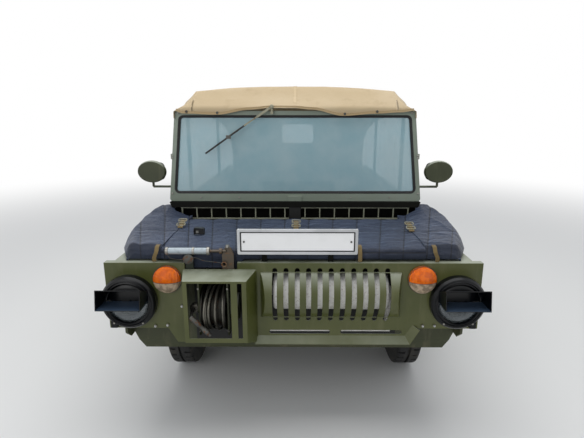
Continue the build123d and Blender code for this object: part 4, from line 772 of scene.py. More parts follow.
def tubes(name: str, paths: Iterable[Sequence[Vector]], radius: float, finish: Material,
          body: str = "chassis", closed: bool = False) -> Object:
    """One piece of round bars or wires that follow paths.

    Args:
        name: name of the piece.
        paths: the points that each one follows.
        radius: radius of the section in metres.
        finish: material.
        body: the body that it moves with.
        closed: whether each path is a ring.

    Returns:
        The piece.
    """
    points: list[Vector] = []
    edges: list[tuple[int, int]] = []
    for path in paths:
        first = len(points)
        points += path
        edges += [(first + k, first + k + 1) for k in range(len(path) - 1)]
        if closed:
            edges.append((len(points) - 1, first))
    lines = bpy.data.meshes.new(name + "_lines")
    lines.from_pydata(points, edges, [])
    return shown(TUBES.plain_mesh(name, lines, finish, Radius=radius), body)


def bend(corners: Sequence[Vector], radius: float, steps: int = 6, closed: bool = False) -> list[Vector]:
    """Path through corners with a round bend at each of them."""
    path: list[Vector] = []
    last = len(corners) - 1
    for index, corner in enumerate(corners):
        if not closed and index in (0, last):
            path.append(corner)
            continue
        before = (corners[index - 1] - corner).normalized()
        after = (corners[(index + 1) % len(corners)] - corner).normalized()
        start, end = corner + before * radius, corner + after * radius
        for step in range(steps + 1):
            share = step / steps
            path.append(start * (1 - share) ** 2 + corner * 2 * share * (1 - share) + end * share ** 2)
    return path


def circle(centre: Vector, radius: float, axis: Vector, steps: int = 48) -> list[Vector]:
    """Points round a circle."""
    side = axis.orthogonal().normalized()
    other = axis.cross(side).normalized()
    turns = (2 * math.pi * step / steps for step in range(steps))
    return [centre + (side * math.cos(turn) + other * math.sin(turn)) * radius for turn in turns]


class Form:
    """Points and faces of a piece while it is put together."""

    def __init__(self) -> None:
        """Start with nothing."""
        self.points: list[Vector] = []
        self.faces: list[tuple[int, ...]] = []

    def row(self, points: Iterable[Vector]) -> list[int]:
        """Keep some points and give their numbers."""
        first = len(self.points)
        self.points += [Vector(point) for point in points]
        return list(range(first, len(self.points)))

    def bridge(self, first: list[int], second: list[int], ring: bool = True) -> None:
        """Faces between two rows of points, either of which may be a single pole."""
        count = max(len(first), len(second))
        for index in range(count if ring else count - 1):
            following = (index + 1) % count
            corners = [first[index % len(first)], first[following % len(first)],
                       second[following % len(second)], second[index % len(second)]]
            self.faces.append(tuple(dict.fromkeys(corners)))

    def lathe(self, profile: Sequence[tuple[float, float]], centre: Vector, axis: Vector, steps: int = 48) -> "Form":
        """Turned solid.

        Args:
            profile: (radius, distance along the axis) pairs.
            centre: where the distance is 0.
            axis: direction of the axis.
            steps: faces round it.

        Returns:
            The form itself.
        """
        rows = []
        for radius, distance in profile:
            middle = centre + axis * distance
            rows.append(self.row([middle] if radius < 1e-6 else circle(middle, radius, axis, steps)))
        for first, second in pairwise(rows):
            self.bridge(first, second)
        return self

    def grid(self, rows: Sequence[Row]) -> "Form":
        """Open sheet through rows of points."""
        kept = [self.row(points) for points in rows]
        for first, second in pairwise(kept):
            self.bridge(first, second, ring=False)
        return self

    def slab(self, low: Sequence[float], high: Sequence[float]) -> "Form":
        """Box between its two corners."""
        return self.capped([self.row(plan((low[0], low[1]), (high[0], high[1]), z)) for z in (low[2], high[2])])

    def frame_ring(self, outer: Row, inner: Row, depth: Vector) -> "Form":
        """Flat frame between two outlines with as many points each, with a depth."""
        rows = [self.row(points) for points in (outer, inner, [p + depth for p in inner], [p + depth for p in outer])]
        for first, second in pairwise(rows + rows[:1]):
            self.bridge(first, second)
        return self

    def band(self, path: Sequence[Vector], across: Vector, width: float, thickness: float) -> "Form":
        """Flat strap along a path, with its width along one direction."""
        rows = []
        for index, point in enumerate(path):
            ahead = path[min(index + 1, len(path) - 1)] - path[max(index - 1, 0)]
            out = ahead.cross(across).normalized() * thickness / 2
            side = across.normalized() * width / 2
            rows.append(self.row([point - side - out, point + side - out, point + side + out, point - side + out]))
        return self.capped(rows)

    def capped(self, rows: Sequence[list[int]]) -> "Form":
        """Close the form over rings of points, with a face on the first and on the last."""
        for first, second in pairwise(rows):
            self.bridge(first, second)
        self.faces += [tuple(reversed(rows[0])), tuple(rows[-1])]
        return self

    def mesh(self, name: str, finish: Material, angle: float = SMOOTH_ANGLE) -> Mesh:
        """Clean mesh with its faces outwards, smooth up to an angle."""
        mesh = bpy.data.meshes.new(name)
        mesh.from_pydata(self.points, [], self.faces)
        work = bmesh.new()
        work.from_mesh(mesh)
        bmesh.ops.remove_doubles(work, verts=work.verts, dist=1e-5)
        bmesh.ops.recalc_face_normals(work, faces=work.faces)
        work.to_mesh(mesh)
        work.free()
        mesh.materials.append(finish)
        mesh.shade_smooth()
        mesh.set_sharp_from_angle(angle=angle)
        return mesh

    def piece(self, name: str, finish: Material, body: str = "chassis", slot: str | None = None,
              bevel: float = 0.0) -> Object:
        """Put the form in the scene.

        Args:
            name: name of the piece.
            finish: its material.
            body: the body that it moves with.
            slot: the record's slot for its finish; not used.
            bevel: width of its rounded edges, or 0.

        Returns:
            The piece.
        """
        piece = shown(self.mesh(name, finish), body)
        if bevel:
            modifier = piece.modifiers.new("edges", "BEVEL")
            modifier.width = bevel
            modifier.segments = 2
            modifier.limit_method = "ANGLE"
        return piece


def flat_coordinates(mesh: Mesh) -> None:
    """Flat coordinates in metres, taken along the two axes that each face lies nearest to."""
    layer = mesh.uv_layers.new(name="cloth").data
    for face in mesh.polygons:
        sizes = [abs(part) for part in face.normal]
        drop = sizes.index(max(sizes))
        for loop in face.loop_indices:
            place = mesh.vertices[mesh.loops[loop].vertex_index].co
            layer[loop].uv = [place[axis] for axis in range(3) if axis != drop]


def thicken(piece: Object, thickness: float, offset: float = -1.0) -> None:
    """Give a sheet its thickness."""
    modifier = piece.modifiers.new("thickness", "SOLIDIFY")
    modifier.thickness = thickness
    modifier.offset = offset


@dataclass
class Studio:
    """Plain pale floor, soft lamps and the camera."""

    floor_half: float = 40.0
    camera_place: Colour = (0.033, -3.561, 1.52)
    camera_pitch: float = 76.5
    camera_yaw: float = 0.35
    lens: float = 27.0
    shift: float = -0.0101
    sky: float = 0.52
    top_power: float = 165.0
    front_power: float = 50.0

    def camera(self) -> None:
        """Camera at the photograph's place and angle."""
        data = bpy.data.cameras.new("camera")
        data.lens = self.lens
        data.sensor_width = 36.0
        data.shift_x = self.shift
        camera = bpy.data.objects.new("camera", data)
        camera.location = self.camera_place
        camera.rotation_euler = (math.radians(self.camera_pitch), 0, math.radians(self.camera_yaw))
        bpy.context.scene.collection.objects.link(camera)
        bpy.context.scene.camera = camera

    def world(self) -> None:
        """Even sky light, seen as white by the camera, in mirrors and through glass."""
        world = bpy.data.worlds.new("studio_world")
        bpy.context.scene.world = world
        world.use_nodes = True
        tree = world.node_tree
        light = tree.nodes["Background"]
        light.inputs["Strength"].default_value = self.sky
        light.inputs["Color"].default_value = (0.93, 0.96, 1.0, 1.0)
        backdrop = tree.nodes.new("ShaderNodeBackground")
        backdrop.inputs["Color"].default_value = (1, 1, 1, 1)
        rays = tree.nodes.new("ShaderNodeLightPath").outputs
        seen = self.any_of(tree, rays["Is Camera Ray"], rays["Is Glossy Ray"], rays["Is Transmission Ray"])
        mix = tree.nodes.new("ShaderNodeMixShader")
        tree.links.new(seen, mix.inputs[0])
        tree.links.new(light.outputs[0], mix.inputs[1])
        tree.links.new(backdrop.outputs[0], mix.inputs[2])
        tree.links.new(mix.outputs[0], tree.nodes["World Output"].inputs["Surface"])

    @staticmethod
    def any_of(tree: bpy.types.NodeTree, *rays: NodeSocket) -> NodeSocket:
        """Share that is 1 on any of some kinds of ray."""
        total = rays[0]
        for ray in rays[1:]:
            node = tree.nodes.new("ShaderNodeMath")
            node.operation = "MAXIMUM"
            tree.links.new(total, node.inputs[0])
            tree.links.new(ray, node.inputs[1])
            total = node.outputs[0]
        return total

    def floor(self) -> None:
        """Pale floor that keeps the shadow and fades to white far off."""
        form = Form().grid([[Vector((x, y, 0)) for x in (-self.floor_half, self.floor_half)]
                            for y in (-self.floor_half, self.floor_half)])
        graph = Graph("floor")
        graph.dress(Base_Color=(0.80, 0.80, 0.79), Roughness=0.9, Specular_IOR_Level=0.1)
        length = graph.add("ShaderNodeVectorMath", operation="LENGTH")
        graph.feed(length.inputs[0], graph.place)
        far = graph.step(length.outputs["Value"], 2.6, 9.0)
        rays = graph.add("ShaderNodeLightPath").outputs
        seen = self.any_of(graph.tree, rays["Is Camera Ray"], rays["Is Glossy Ray"], rays["Is Transmission Ray"])
        white = graph.add("ShaderNodeEmission")
        mix = graph.add("ShaderNodeMixShader")
        graph.feed(mix.inputs[0], graph.maths("MULTIPLY", far, seen))
        graph.feed(mix.inputs[1], graph.shader.outputs[0])
        graph.feed(mix.inputs[2], white.outputs[0])
        graph.feed(graph.tree.nodes["Material Output"].inputs["Surface"], mix.outputs[0])
        mesh = form.mesh("floor", graph.material)
        floor = bpy.data.objects.new("floor", mesh)
        bpy.context.scene.collection.objects.link(floor)

    def lamp(self, name: str, place: Colour, target: Colour, size: float, power: float) -> None:
        """Soft square lamp turned towards a point."""
        data = bpy.data.lights.new(name, "AREA")
        data.shape = "SQUARE"
        data.size = size
        data.energy = power
        lamp = bpy.data.objects.new(name, data)
        lamp.location = place
        lamp.rotation_euler = (Vector(target) - Vector(place)).to_track_quat("-Z", "Y").to_euler()
        bpy.context.scene.collection.objects.link(lamp)

    def build(self) -> None:
        """Put up the whole studio."""
        bpy.context.scene.view_settings.view_transform = "Standard"
        self.camera()
        self.world()
        self.floor()
        self.lamp("top_lamp", (0.0, -0.6, 5.2), (0, 0, 0.6), 5.0, self.top_power)
        self.lamp("front_lamp", (-2.6, -6.0, 3.0), (0, -1.2, 0.7), 3.0, self.front_power)


@dataclass
class NodeFinishes:
    """Finishes of the frame's own nodes."""

    def build(self) -> None:
        """Give each node that stays its material."""
        table = {
            SHIELD_OLIVE_AND_SHADE: ["front_shield"],
            OLIVE: ["hull_side_left", "hull_side_right", "hull_tail", "front_deck", "tailgate", "dashboard",
                    "loading_ramps", "rim_front_left", "rim_front_right", "rim_rear_left", "rim_rear_right"],
            BOW_PAINT_AND_SHADE: ["hull_bow"],
            UNDERSIDE: ["hull_floor", "front_arms", "rear_arms", "knuckle_left", "knuckle_right"],
            DARK_GREEN: ["seat_frames", "steering_column", "top_bows", "winch_frame", "mirrors", "tail_fittings"],
            BLACK_GREEN: ["cowl", "engine_lid"],
            FRAME_OLIVE: ["windscreen_frame"],
            LAMP_ENAMEL_LIT_SHELF: ["headlamp_left", "headlamp_right"],
            SILVER: ["muffler"],
            STEEL: ["wiper"],
            GUIDE: ["cable_guide"],
            OILY_STEEL: ["winch_drum"],
            ENGINE_GREY: ["engine_block"],
            BLACK_PLASTIC: ["steering_wheel"],
            GRILLE: ["intake_grille"],
            TYRE: [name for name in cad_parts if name.startswith("tyre_")],
            SCREEN_GLASS: ["windscreen_glass"],
            LAMP_GLASS: ["lamp_lenses"],
            TURN_LENS: ["turn_lamps"],
            RED_LENS: ["tail_lamps"],
            PLATE: ["number_plate"],
            CANVAS: ["canvas_top"],
            QUILT: ["lid_quilt", "deck_quilt"],
            LEATHERETTE: ["driver_seat", "passenger_seats"],
        }
        for finish, names in table.items():
            for name in names:
                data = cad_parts[name].data
                data.materials.clear()
                data.materials.append(finish)


@dataclass
class QuiltedCover:
    """Padded cover over the engine lid and both fenders, sewn in long channels."""

    half: float = 0.600
    split: float = 0.0022
    front: float = 0.024
    rear: float = 0.560
    low: float = 0.8765
    top_front: float = 0.922
    top_rear: float = 0.934
    corner: float = 0.026
    first_seam: float = -0.043
    pitch: float = 0.107
    cell: float = 0.0075
    puff: float = 0.0085
    apron: float = 0.040
    wing_rear: float = 0.704
    cowl_front: float = 0.640
    notch: tuple[float, float, float, float] = (-0.510, -0.485, -0.245, -0.222)
    outline: tuple[Pair, ...] = (
        (0.036, 0.764), (0.080, 0.785), (0.110, 0.800), (0.150, 0.818), (0.200, 0.840), (0.250, 0.851),
        (0.300, 0.857), (0.530, 0.857), (0.640, 0.834), (0.704, 0.811))
    edge_heights: tuple[Pair, ...] = (
        (0.036, 0.892), (0.080, 0.896), (0.110, 0.886), (0.150, 0.881), (0.200, 0.876), (0.250, 0.882),
        (0.300, 0.900), (0.350, 0.914), (0.400, 0.924), (0.500, 0.936), (0.600, 0.952), (0.704, 0.970))
    edge_round: tuple[Pair, ...] = ((0.0, 0.0), (0.020, 0.026), (0.040, 0.044), (0.080, 0.076))
    crown: float = 0.929
    crown_lift: tuple[Pair, ...] = ((0.300, 0.004), (0.450, 0.016), (0.560, 0.032), (0.650, 0.048), (0.704, 0.056))
    crown_share: tuple[Pair, ...] = ((0.640, 0.10), (0.742, 1.0))
    creases: tuple[tuple[float, float, float, float, float], ...] = (
        (-0.500, 0.470, -0.250, 0.120, 0.0055), (-0.420, 0.500, -0.215, 0.240, 0.0045),
        (-0.560, 0.380, -0.330, 0.060, 0.0040), (-0.360, 0.300, -0.270, 0.040, 0.0050),
        (-0.720, 0.520, -0.580, 0.300, 0.0035), (-0.780, 0.330, -0.640, 0.120, 0.0035),
        (0.740, 0.560, 0.820, 0.260, 0.0045), (0.560, 0.120, 0.740, 0.060, 0.0040),
        (0.640, 0.300, 0.800, 0.180, 0.0035), (0.380, 0.090, 0.560, 0.140, 0.0030),
        (0.300, 0.420, 0.480, 0.360, 0.0030), (-0.150, 0.460, 0.050, 0.400, 0.0030))
    hem_straps: tuple[tuple[str, float, str, float], ...] = (
        ("right", -0.618, "chassis", -0.010), ("left", 0.640, "chassis", 0.010), ("middle", 0.302, "engine_lid", 0.0))
    loops: tuple[Pair, ...] = ((-0.597, 0.396), (0.597, 0.330), (0.010, 0.372))
    loop_z: float = 0.944
    loop_path: tuple[Pair, ...] = ((-0.056, -0.002), (-0.018, 0.010), (0.022, 0.022), (0.046, 0.012))
    slot_place: tuple[float, float, float] = (-0.470, 0.230, 0.938)

    def pillow(self, across: float, lengthways: float, point: Vector) -> float:
        """Height of the padding, from the place in its channel (0 to 1 each way)."""
        side = abs(math.sin(math.pi * across)) ** 0.42
        end = abs(math.sin(math.pi * lengthways)) ** 0.22
        crumple = 1 + 0.40 * rough(point, 9) + 0.30 * rough(point, 26, 3)
        gather = 0.0016 * rough(Vector((point.x * 18, point.y * 70, point.z * 70)), 1.0, 7) * (1 - side)
        folds = 0.0020 * abs(rough(Vector((point.x * 9, point.y * 24, point.z * 24)), 1.0, 11))
        return self.puff * side * end * crumple + gather + folds + self.crease(point) + 0.0010 * rough(point, 60, 5)

    def crease(self, point: Vector) -> float:
        """Height of the long folds that run across the channels."""
        total = 0.0
        for x0, d0, x1, d1, height in self.creases:
            run = Vector((x1 - x0, d1 - d0))
            offset = Vector((point.x - x0, point.y - SHIELD_Y - d0))
            share = offset.dot(run) / run.length_squared
            aside = (offset - run * share).length
            total += height * math.exp(-(aside / 0.009) ** 2) * ease(share, -0.10, 0.25) * ease(share, 1.10, 0.75)
        return total

    def lid_path(self) -> list[tuple[float, float, float]]:
        """Side outline of the lid's panel as (distance behind, height, run so far)."""
        corners = [
            Vector((0, self.front, self.low)),
            Vector((0, self.front, self.top_front)),
            Vector((0, self.rear, self.top_rear)),
            Vector((0, self.rear, 0.902)),
        ]
        path = bend(corners, self.corner, 7)
        fine: list[Vector] = []
        for first, second in pairwise(path):
            steps = max(1, round((second - first).length / 0.006))
            fine += [first.lerp(second, step / steps) for step in range(steps)]
        fine.append(path[-1])
        run = 0.0
        table = []
        for index, point in enumerate(fine):
            run += (point - fine[index - 1]).length if index else 0.0
            table.append((point.y, point.z, run))
        return table

    def lid_panel(self) -> Object:
        """Panel on the engine lid, as a closed pad."""
        table = self.lid_path()
        columns = round(2 * self.half / self.cell)
        start, full, ebb, end = self.notch
        rows: list[Row] = []
        for index, (distance, height, run) in enumerate(table):
            before, after = table[max(index - 1, 0)], table[min(index + 1, len(table) - 1)]
            out = Vector((0, -(after[1] - before[1]), after[0] - before[0])).normalized()
            seams = [0.0, 0.0325, 0.312, table[-1][2]]
            low = max(s for s in seams[:-1] if s <= run + 1e-9)
            high = seams[seams.index(low) + 1]
            row = []
            for column in range(columns + 1):
                x = -self.half + 2 * self.half * column / columns
                drop = self.apron * ease(x, start, full) * ease(x, end, ebb) * ease(height, 0.902, self.low)
                base = Vector((x, behind(distance), height - drop))
                puff = self.pillow(self.channel(x, distance), (run - low) / (high - low), base)
                row.append(base + out * puff * (1 - 0.7 * drop / self.apron))
            rows.append(row)
        piece = shown(self.closed(Form().grid(rows), "quilt_lid_panel"), "engine_lid")
        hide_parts("lid_quilt")
        return piece

    def channel(self, x: float, distance: float) -> float:
        """Place across a sewn channel, from 0 at one seam to 1 at the next; the seams fan out towards the rear."""
        return (x / (1 + SEAM_FAN * distance) - self.first_seam) / self.pitch % 1.0

    def closed(self, form: Form, name: str) -> Mesh:
        """Close a sheet's rim with one flat underside."""
        mesh = bpy.data.meshes.new(name)
        mesh.from_pydata(form.points, [], form.faces)
        work = bmesh.new()
        work.from_mesh(mesh)
        rim = [edge for edge in work.edges if edge.is_boundary]
        made = bmesh.ops.extrude_edge_only(work, edges=rim)["geom"]
        for vertex in (item for item in made if isinstance(item, bmesh.types.BMVert)):
            vertex.co.z = self.low
        under = [edge for edge in work.edges if edge.is_boundary]
        bmesh.ops.contextual_create(work, geom=under)
        bmesh.ops.remove_doubles(work, verts=work.verts, dist=1e-6)
        bmesh.ops.recalc_face_normals(work, faces=work.faces)
        work.to_mesh(mesh)
        work.free()
        mesh.materials.append(QUILT)
        mesh.shade_smooth()
        mesh.set_sharp_from_angle(angle=CLOTH_ANGLE)
        flat_coordinates(mesh)
        return mesh

    def wing_height(self, x: float, distance: float) -> float:
        """Height of a fender's panel before its padding."""
        crown = self.crown + straight(self.crown_lift, distance) * straight(self.crown_share, x)
        edge = straight(self.edge_heights, distance) + straight(self.edge_round, straight(self.outline, distance) - x)
        top = soften(edge, crown, 0.012)
        return top - 0.040 * (1 - ease(distance, self.front + 0.002, self.front + 0.040))

    def wing_panel(self, side: int) -> Form:
        """Panel on one fender."""
        inner = self.half + self.split
        columns, rows_count = 36, 120
        rows: list[Row] = []
        for step in range(rows_count + 1):
            row = []
            for column in range(columns + 1):
                share = column / columns
                reach = self.cowl_front + (self.wing_rear - self.cowl_front) * ease(share, 0.42, 0.60)
                distance = 0.030 + (reach - 0.030) * step / rows_count
                x = inner + (straight(self.outline, distance) - inner) * share
                base = Vector((side * x, behind(distance), self.wing_height(x, distance)))
                ends = [0.0, 0.300, 0.586, 0.80]
                low = max(s for s in ends if s <= distance)
                high = ends[ends.index(low) + 1]
                puff = self.pillow(self.channel(side * x, distance), (distance - low) / (high - low), base)
                row.append(base + Z * puff * ease(share, 1.02, 0.90))
            rows.append(row)
        return Form().grid(rows)

    def wings(self) -> Object:
        """Both fenders' panels as one piece."""
        work = bmesh.new()
        for side in (-1, 1):
            work.from_mesh(self.closed(self.wing_panel(side), "quilt_side"))
        joined = bpy.data.meshes.new("quilt_fender_panels")
        work.to_mesh(joined)
        work.free()
        joined.materials.append(QUILT)
        joined.shade_smooth()
        joined.set_sharp_from_angle(angle=CLOTH_ANGLE)
        piece = shown(joined, "chassis")
        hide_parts("deck_quilt")
        return piece

    def straps(self) -> None:
        """Webbing straps at the front hem, and webbing loops with two-ring buckles at the seams."""
        for name, x, body, lean in self.hem_straps:
            path = [at(x, 0.052, 0.937), at(x, 0.030, 0.934), at(x, 0.012, 0.912), at(x + lean, 0.008, 0.890),
                    at(x + lean, 0.010, 0.870)]
            strap = Form().band(bend(path, 0.006, 4), X, 0.018, 0.0025)
            strap.piece(f"hem_strap_{name}", WEBBING, body, "canvas")
        for index, (x, distance) in enumerate(self.loops):
            y = behind(distance)
            path = [Vector((x, y + run, self.loop_z + lift)) for run, lift in self.loop_path]
            loop = Form().band(bend(path, 0.008, 3), X, 0.026, 0.003)
            loop.piece(f"cover_loop_{index}", WEBBING, "engine_lid", "canvas")
            rings = []
            for run, lift in ((-0.030, 0.010), (0.010, 0.023)):
                corners = [Vector((x + a, y + run + b, self.loop_z + lift + b * 0.35)) for a, b in
                           ((-0.021, -0.011), (0.021, -0.011), (0.021, 0.011), (-0.021, 0.011))]
                rings.append(bend(corners, 0.005, 3, True))
            tubes(f"cover_buckle_{index}", rings, 0.0026, HEM_METAL, "engine_lid", True)

    def slot(self) -> None:
        """Rubber-edged opening with a metal tab that stands up out of the lid's panel."""
        x, distance, foot = self.slot_place
        y = behind(distance)
        arch = [Vector((x + aside, y, foot + rise)) for aside, rise in
                ((-0.024, 0.0), (-0.024, 0.034), (0.024, 0.030), (0.024, 0.0))]
        rim = Form().band(bend(arch, 0.007, 4), Y, 0.026, 0.003)
        rim.piece("cover_slot_rim", BLACK_PLASTIC, "engine_lid", "black_plastic")
        lining = Form().slab((x - 0.023, y - 0.004, foot), (x + 0.023, y + 0.010, foot + 0.028))
        lining.piece("cover_slot_lining", GASKET, "engine_lid", "black_plastic")
        tab = Form().slab((x - 0.016, y - 0.008, foot + 0.006), (x - 0.002, y - 0.003, foot + 0.018))
        tab.piece("cover_slot_tab", STEEL, "engine_lid", "bare_steel", 0.001)

    def build(self) -> None:
        """Build the whole cover."""
        self.lid_panel()
        self.wings()
        self.straps()
        self.slot()


@dataclass
class Canopy:
    """Canvas top: roof, front and side valances, rear quarters and rear curtain with its window."""

    half: float = 0.694
    eave: float = 1.520
    edge: float = 1.496
    shoulder_x: float = 0.590
    shoulder_z: float = 1.655
    top: float = 1.690
    front: float = 0.682
    rear: float = 2.990
    foot: float = 3.380
    sill: float = 0.9005
    cell: float = 0.0155
    window: tuple[float, float, float, float] = (0.181, 0.111, 0.045, 1.300)
    bows: tuple[float, ...] = (0.930, 1.930, 2.900)
    curtain: Pair = (3.010, 1.630)
    corner_pull: tuple[Pair, ...] = ((1.535, 0.0), (1.572, 0.046), (1.600, 0.042), (1.640, 0.020), (1.656, 0.0))
    seams: tuple[Pair, ...] = ((-0.560, 0.930), (0.0, 0.715), (0.560, 0.930))
    seam_end: float = 2.905
    seam_steps: int = 80
    hem_half: float = 0.672
    hem_steps: int = 96
    ahead: float = -3.0
    studs: tuple[float, ...] = (-0.613, -0.439, 0.283, 0.465)
    opening_start: float = 0.79
    opening_bend: float = 1.64
    opening_foot: float = 0.925

    @property
    def curtain_slope(self) -> float:
        """Distance that the rear curtain runs back for each metre that it falls."""
        return (self.foot - self.curtain[0]) / (self.curtain[1] - self.sill)

    def section(self) -> list[tuple[float, float]]:
        """Points (x, z) of the cross-section from the right sill over the roof to the left sill."""
        rise = self.top - self.shoulder_z
        radius = (self.shoulder_x ** 2 + rise ** 2) / (2 * rise)
        crown = []
        steps = round(2 * self.shoulder_x / self.cell)
        for step in range(steps + 1):
            x = -self.shoulder_x + 2 * self.shoulder_x * step / steps
            crown.append((x, self.top - radius + math.sqrt(radius ** 2 - x ** 2)))
        right = [(-self.half, self.sill), (-self.half, self.eave), (-self.half + 0.014, self.eave + 0.060),
                 (-self.shoulder_x, self.shoulder_z)]
        corners = [Vector((x, 0, z)) for x, z in right]
        side = bend(corners, 0.030, 4)
        fine: list[tuple[float, float]] = []
        for first, second in pairwise(side):
            count = max(1, round((second - first).length / self.cell))
            fine += [((first.lerp(second, k / count)).x, (first.lerp(second, k / count)).z) for k in range(count)]
        mirrored = [(-x, z) for x, z in reversed(fine)]
        return fine + crown + mirrored

    def roof(self, distance: float) -> float:
        """Height of the roof line at a distance behind the shield."""
        table = [(self.front, 1.559), (0.870, 1.686), (0.990, self.top), (2.930, 1.676), self.curtain,
                 (self.foot, self.sill - 0.0004)]
        return straight(table, distance)

    def stations(self) -> list[float]:
        """Distances behind the shield of the rows, closer together where the curtain falls."""
        rows = []
        place = self.front
        while place < self.foot - 0.002:
            rows.append(place)
            place += self.cell if place < 2.93 else self.cell * 0.46
        return rows + [self.foot]

    def hang(self, point: Vector, distance: float) -> Vector:
        """Small sags between the bows and creases of the cloth."""
        gaps = [self.front, *self.bows, self.rear]
        sag = 0.0
        for start, end in pairwise(gaps):
            if start < distance < end:
                sag = math.sin(math.pi * (distance - start) / (end - start)) ** 2 * min(0.010, (end - start) * 0.014)
        over = ease(point.z, 1.50, 1.62)
        crease = 0.0035 * rough(point, 3.1) + 0.0016 * rough(point, 11, 2)
        long = 0.0018 * rough(Vector((point.x * 2, point.y * 16, point.z * 3)), 1.0, 9)
        inwards = Vector((-math.copysign(1, point.x) * (1 - over), 0, -over))
        return point + inwards * (sag * over + 0.0035 + crease + long)

    def lip(self, x: float) -> float:
        """Height of the wavy lower edge of the front valance."""
        table = [(-0.69, 1.541), (-0.635, 1.522), (-0.442, 1.515), (-0.254, 1.543), (-0.136, 1.552), (0.001, 1.551),
                 (0.096, 1.543), (0.278, 1.509), (0.465, 1.521), (0.595, 1.528), (0.69, 1.538)]
        return along(table, x)

    def open_side(self, distance: float, z: float) -> bool:
        """Whether a place on the side wall is in the large side opening."""
        if z >= self.edge:
            return False
        return distance < self.curve(z)

    def curve(self, z: float) -> float:
        """Distance behind the shield of the rear edge of the side opening at a height."""
        table = [(0.80, 2.600), (0.930, 2.800), (1.030, 2.858), (1.130, 2.880), (1.250, 2.800), (1.365, 2.560),
                 (1.440, 2.240), (1.480, 1.900), (1.496, 1.650)]
        return straight(table, z)

    def in_window(self, x: float, z: float) -> bool:
        """Whether a place on the curtain is in its window."""
        half_x, half_z, radius, middle = self.window
        dx = max(abs(x) - half_x + radius, 0.0)
        dz = max(abs(z - middle) - half_z + radius, 0.0)
        return math.hypot(dx, dz) < radius

    def sheet(self) -> Mesh:
        """The whole cloth as one open sheet."""
        section = self.section()
        rows: list[Row] = []
        for distance in self.stations():
            roof = self.roof(distance)
            flare = 1 - ease(distance, 0.740, 0.900)
            row = []
            for x, z in section:
                height = max(soften(z, roof, 0.018), min(z, self.sill))
                pull = straight(self.corner_pull, z) * flare
                row.append(Vector((x - math.copysign(pull, x), behind(distance), height)))
            rows.append(row)
        valance: list[Row] = []
        for step in range(5):
            share = step / 4
            row = []
            for point in rows[0]:
                if point.z < 1.5405:
                    row.append(point.copy())
                    continue
                low = self.lip(point.x)
                hang = low + (point.z - low) * share
                forward = 0.004 * math.sin(math.pi * share) + 0.003 * rough(point, 14, 4) * (1 - share)
                row.append(Vector((point.x, point.y - forward, hang)))
            valance.append(row)
        form = Form().grid(valance[:-1] + rows)
        mesh = bpy.data.meshes.new("canvas_cloth")
        mesh.from_pydata(form.points, [], form.faces)
        return mesh

    def trimmed(self, mesh: Mesh) -> None:
        """Cut the side openings and the window, draw the edges onto their outlines and hang the cloth."""
        work = bmesh.new()
        work.from_mesh(mesh)
        bmesh.ops.remove_doubles(work, verts=work.verts, dist=1e-4)
        gone = []
        for face in work.faces:
            centre = face.calc_center_median()
            distance = centre.y - SHIELD_Y
            side = abs(centre.x) > self.half - 0.004 and distance < 3.2
            if side and self.open_side(distance, centre.z):
                gone.append(face)
            elif distance > 3.02 and self.in_window(centre.x, centre.z) and abs(centre.x) < 0.6:
                gone.append(face)
            elif face.calc_area() < 1e-9 or centre.z < self.sill + 0.002:
                gone.append(face)
        bmesh.ops.delete(work, geom=gone, context="FACES")
        for vertex in work.verts:
            if not vertex.is_boundary:
                continue
            place = vertex.co
            distance = place.y - SHIELD_Y
            if abs(place.x) > self.half - 0.004 and distance < 3.0 and 0.93 < place.z < self.edge + self.cell:
                if distance < 1.66:
                    place.z = self.edge
                else:
                    self.to_curve(place)
            elif distance > 3.02 and abs(place.x) < 0.4 and 1.1 < place.z < 1.5:
                self.to_window(place)
        for vertex in work.verts:
            vertex.co = self.hang(vertex.co, vertex.co.y - SHIELD_Y)
        bmesh.ops.recalc_face_normals(work, faces=work.faces)
        work.normal_update()
        work.to_mesh(mesh)
        work.free()

    def to_curve(self, place: Vector) -> None:
        """Move a point of the side wall's edge onto the curve of the opening."""
        best = None
        for step in range(-12, 13):
            z = min(self.edge, max(0.85, place.z + step * 0.0015))
            y = behind(self.curve(z))
            gap = (y - place.y) ** 2 + (z - place.z) ** 2
            if best is None or gap < best[0]:
                best = (gap, y, z)
        place.y, place.z = best[1], best[2]

    def to_window(self, place: Vector) -> None:
        """Move a point of the curtain's edge onto the window's outline."""
        half_x, half_z, radius, middle = self.window
        centre_x = math.copysign(min(abs(place.x), half_x - radius), place.x)
        centre_z = middle + math.copysign(min(abs(place.z - middle), half_z - radius), place.z - middle)
        offset = Vector((place.x - centre_x, place.z - centre_z))
        if offset.length > 1e-5:
            offset = offset.normalized() * radius
            new_z = centre_z + offset.y
            place.y += (place.z - new_z) * self.curtain_slope
            place.x, place.z = centre_x + offset.x, new_z

    def build(self) -> None:
        """Build the cloth, its hems, buttons and rear window."""
        mesh = self.sheet()
        self.trimmed(mesh)
        mesh.materials.append(CANVAS)
        mesh.shade_smooth()
        flat_coordinates(mesh)
        piece = shown(mesh, "chassis")
        thicken(piece, 0.0025)
        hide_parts("canvas_top")
        self.sewing(mesh)

    def sewing(self, mesh: Mesh) -> None:
        """Seams, hem, stitches, press studs and bindings that lie on the cloth."""
        points = [vertex.co for vertex in mesh.vertices]
        cloth = BVHTree.FromPolygons(points, [tuple(face.vertices) for face in mesh.polygons])
        stitches = self.roof_seams(cloth) + self.front_hem(cloth)
        repeat("canvas_stitches", stitches, Shape.BLOCK, (0.0070, 0.0014, 0.0009), STITCH)
        studs = []
        for x in self.studs:
            hit = cloth.ray_cast(Vector((x, self.ahead, self.lip(x) + 0.011)), Y)[0]
            studs.append(Place(hit - Y * 0.004, -Y))
        repeat("canvas_studs", studs, Shape.DISC, (0.015, 0.015, 0.005), DARK_STEEL)
        self.side_bindings(cloth)
        self.window_binding(cloth)

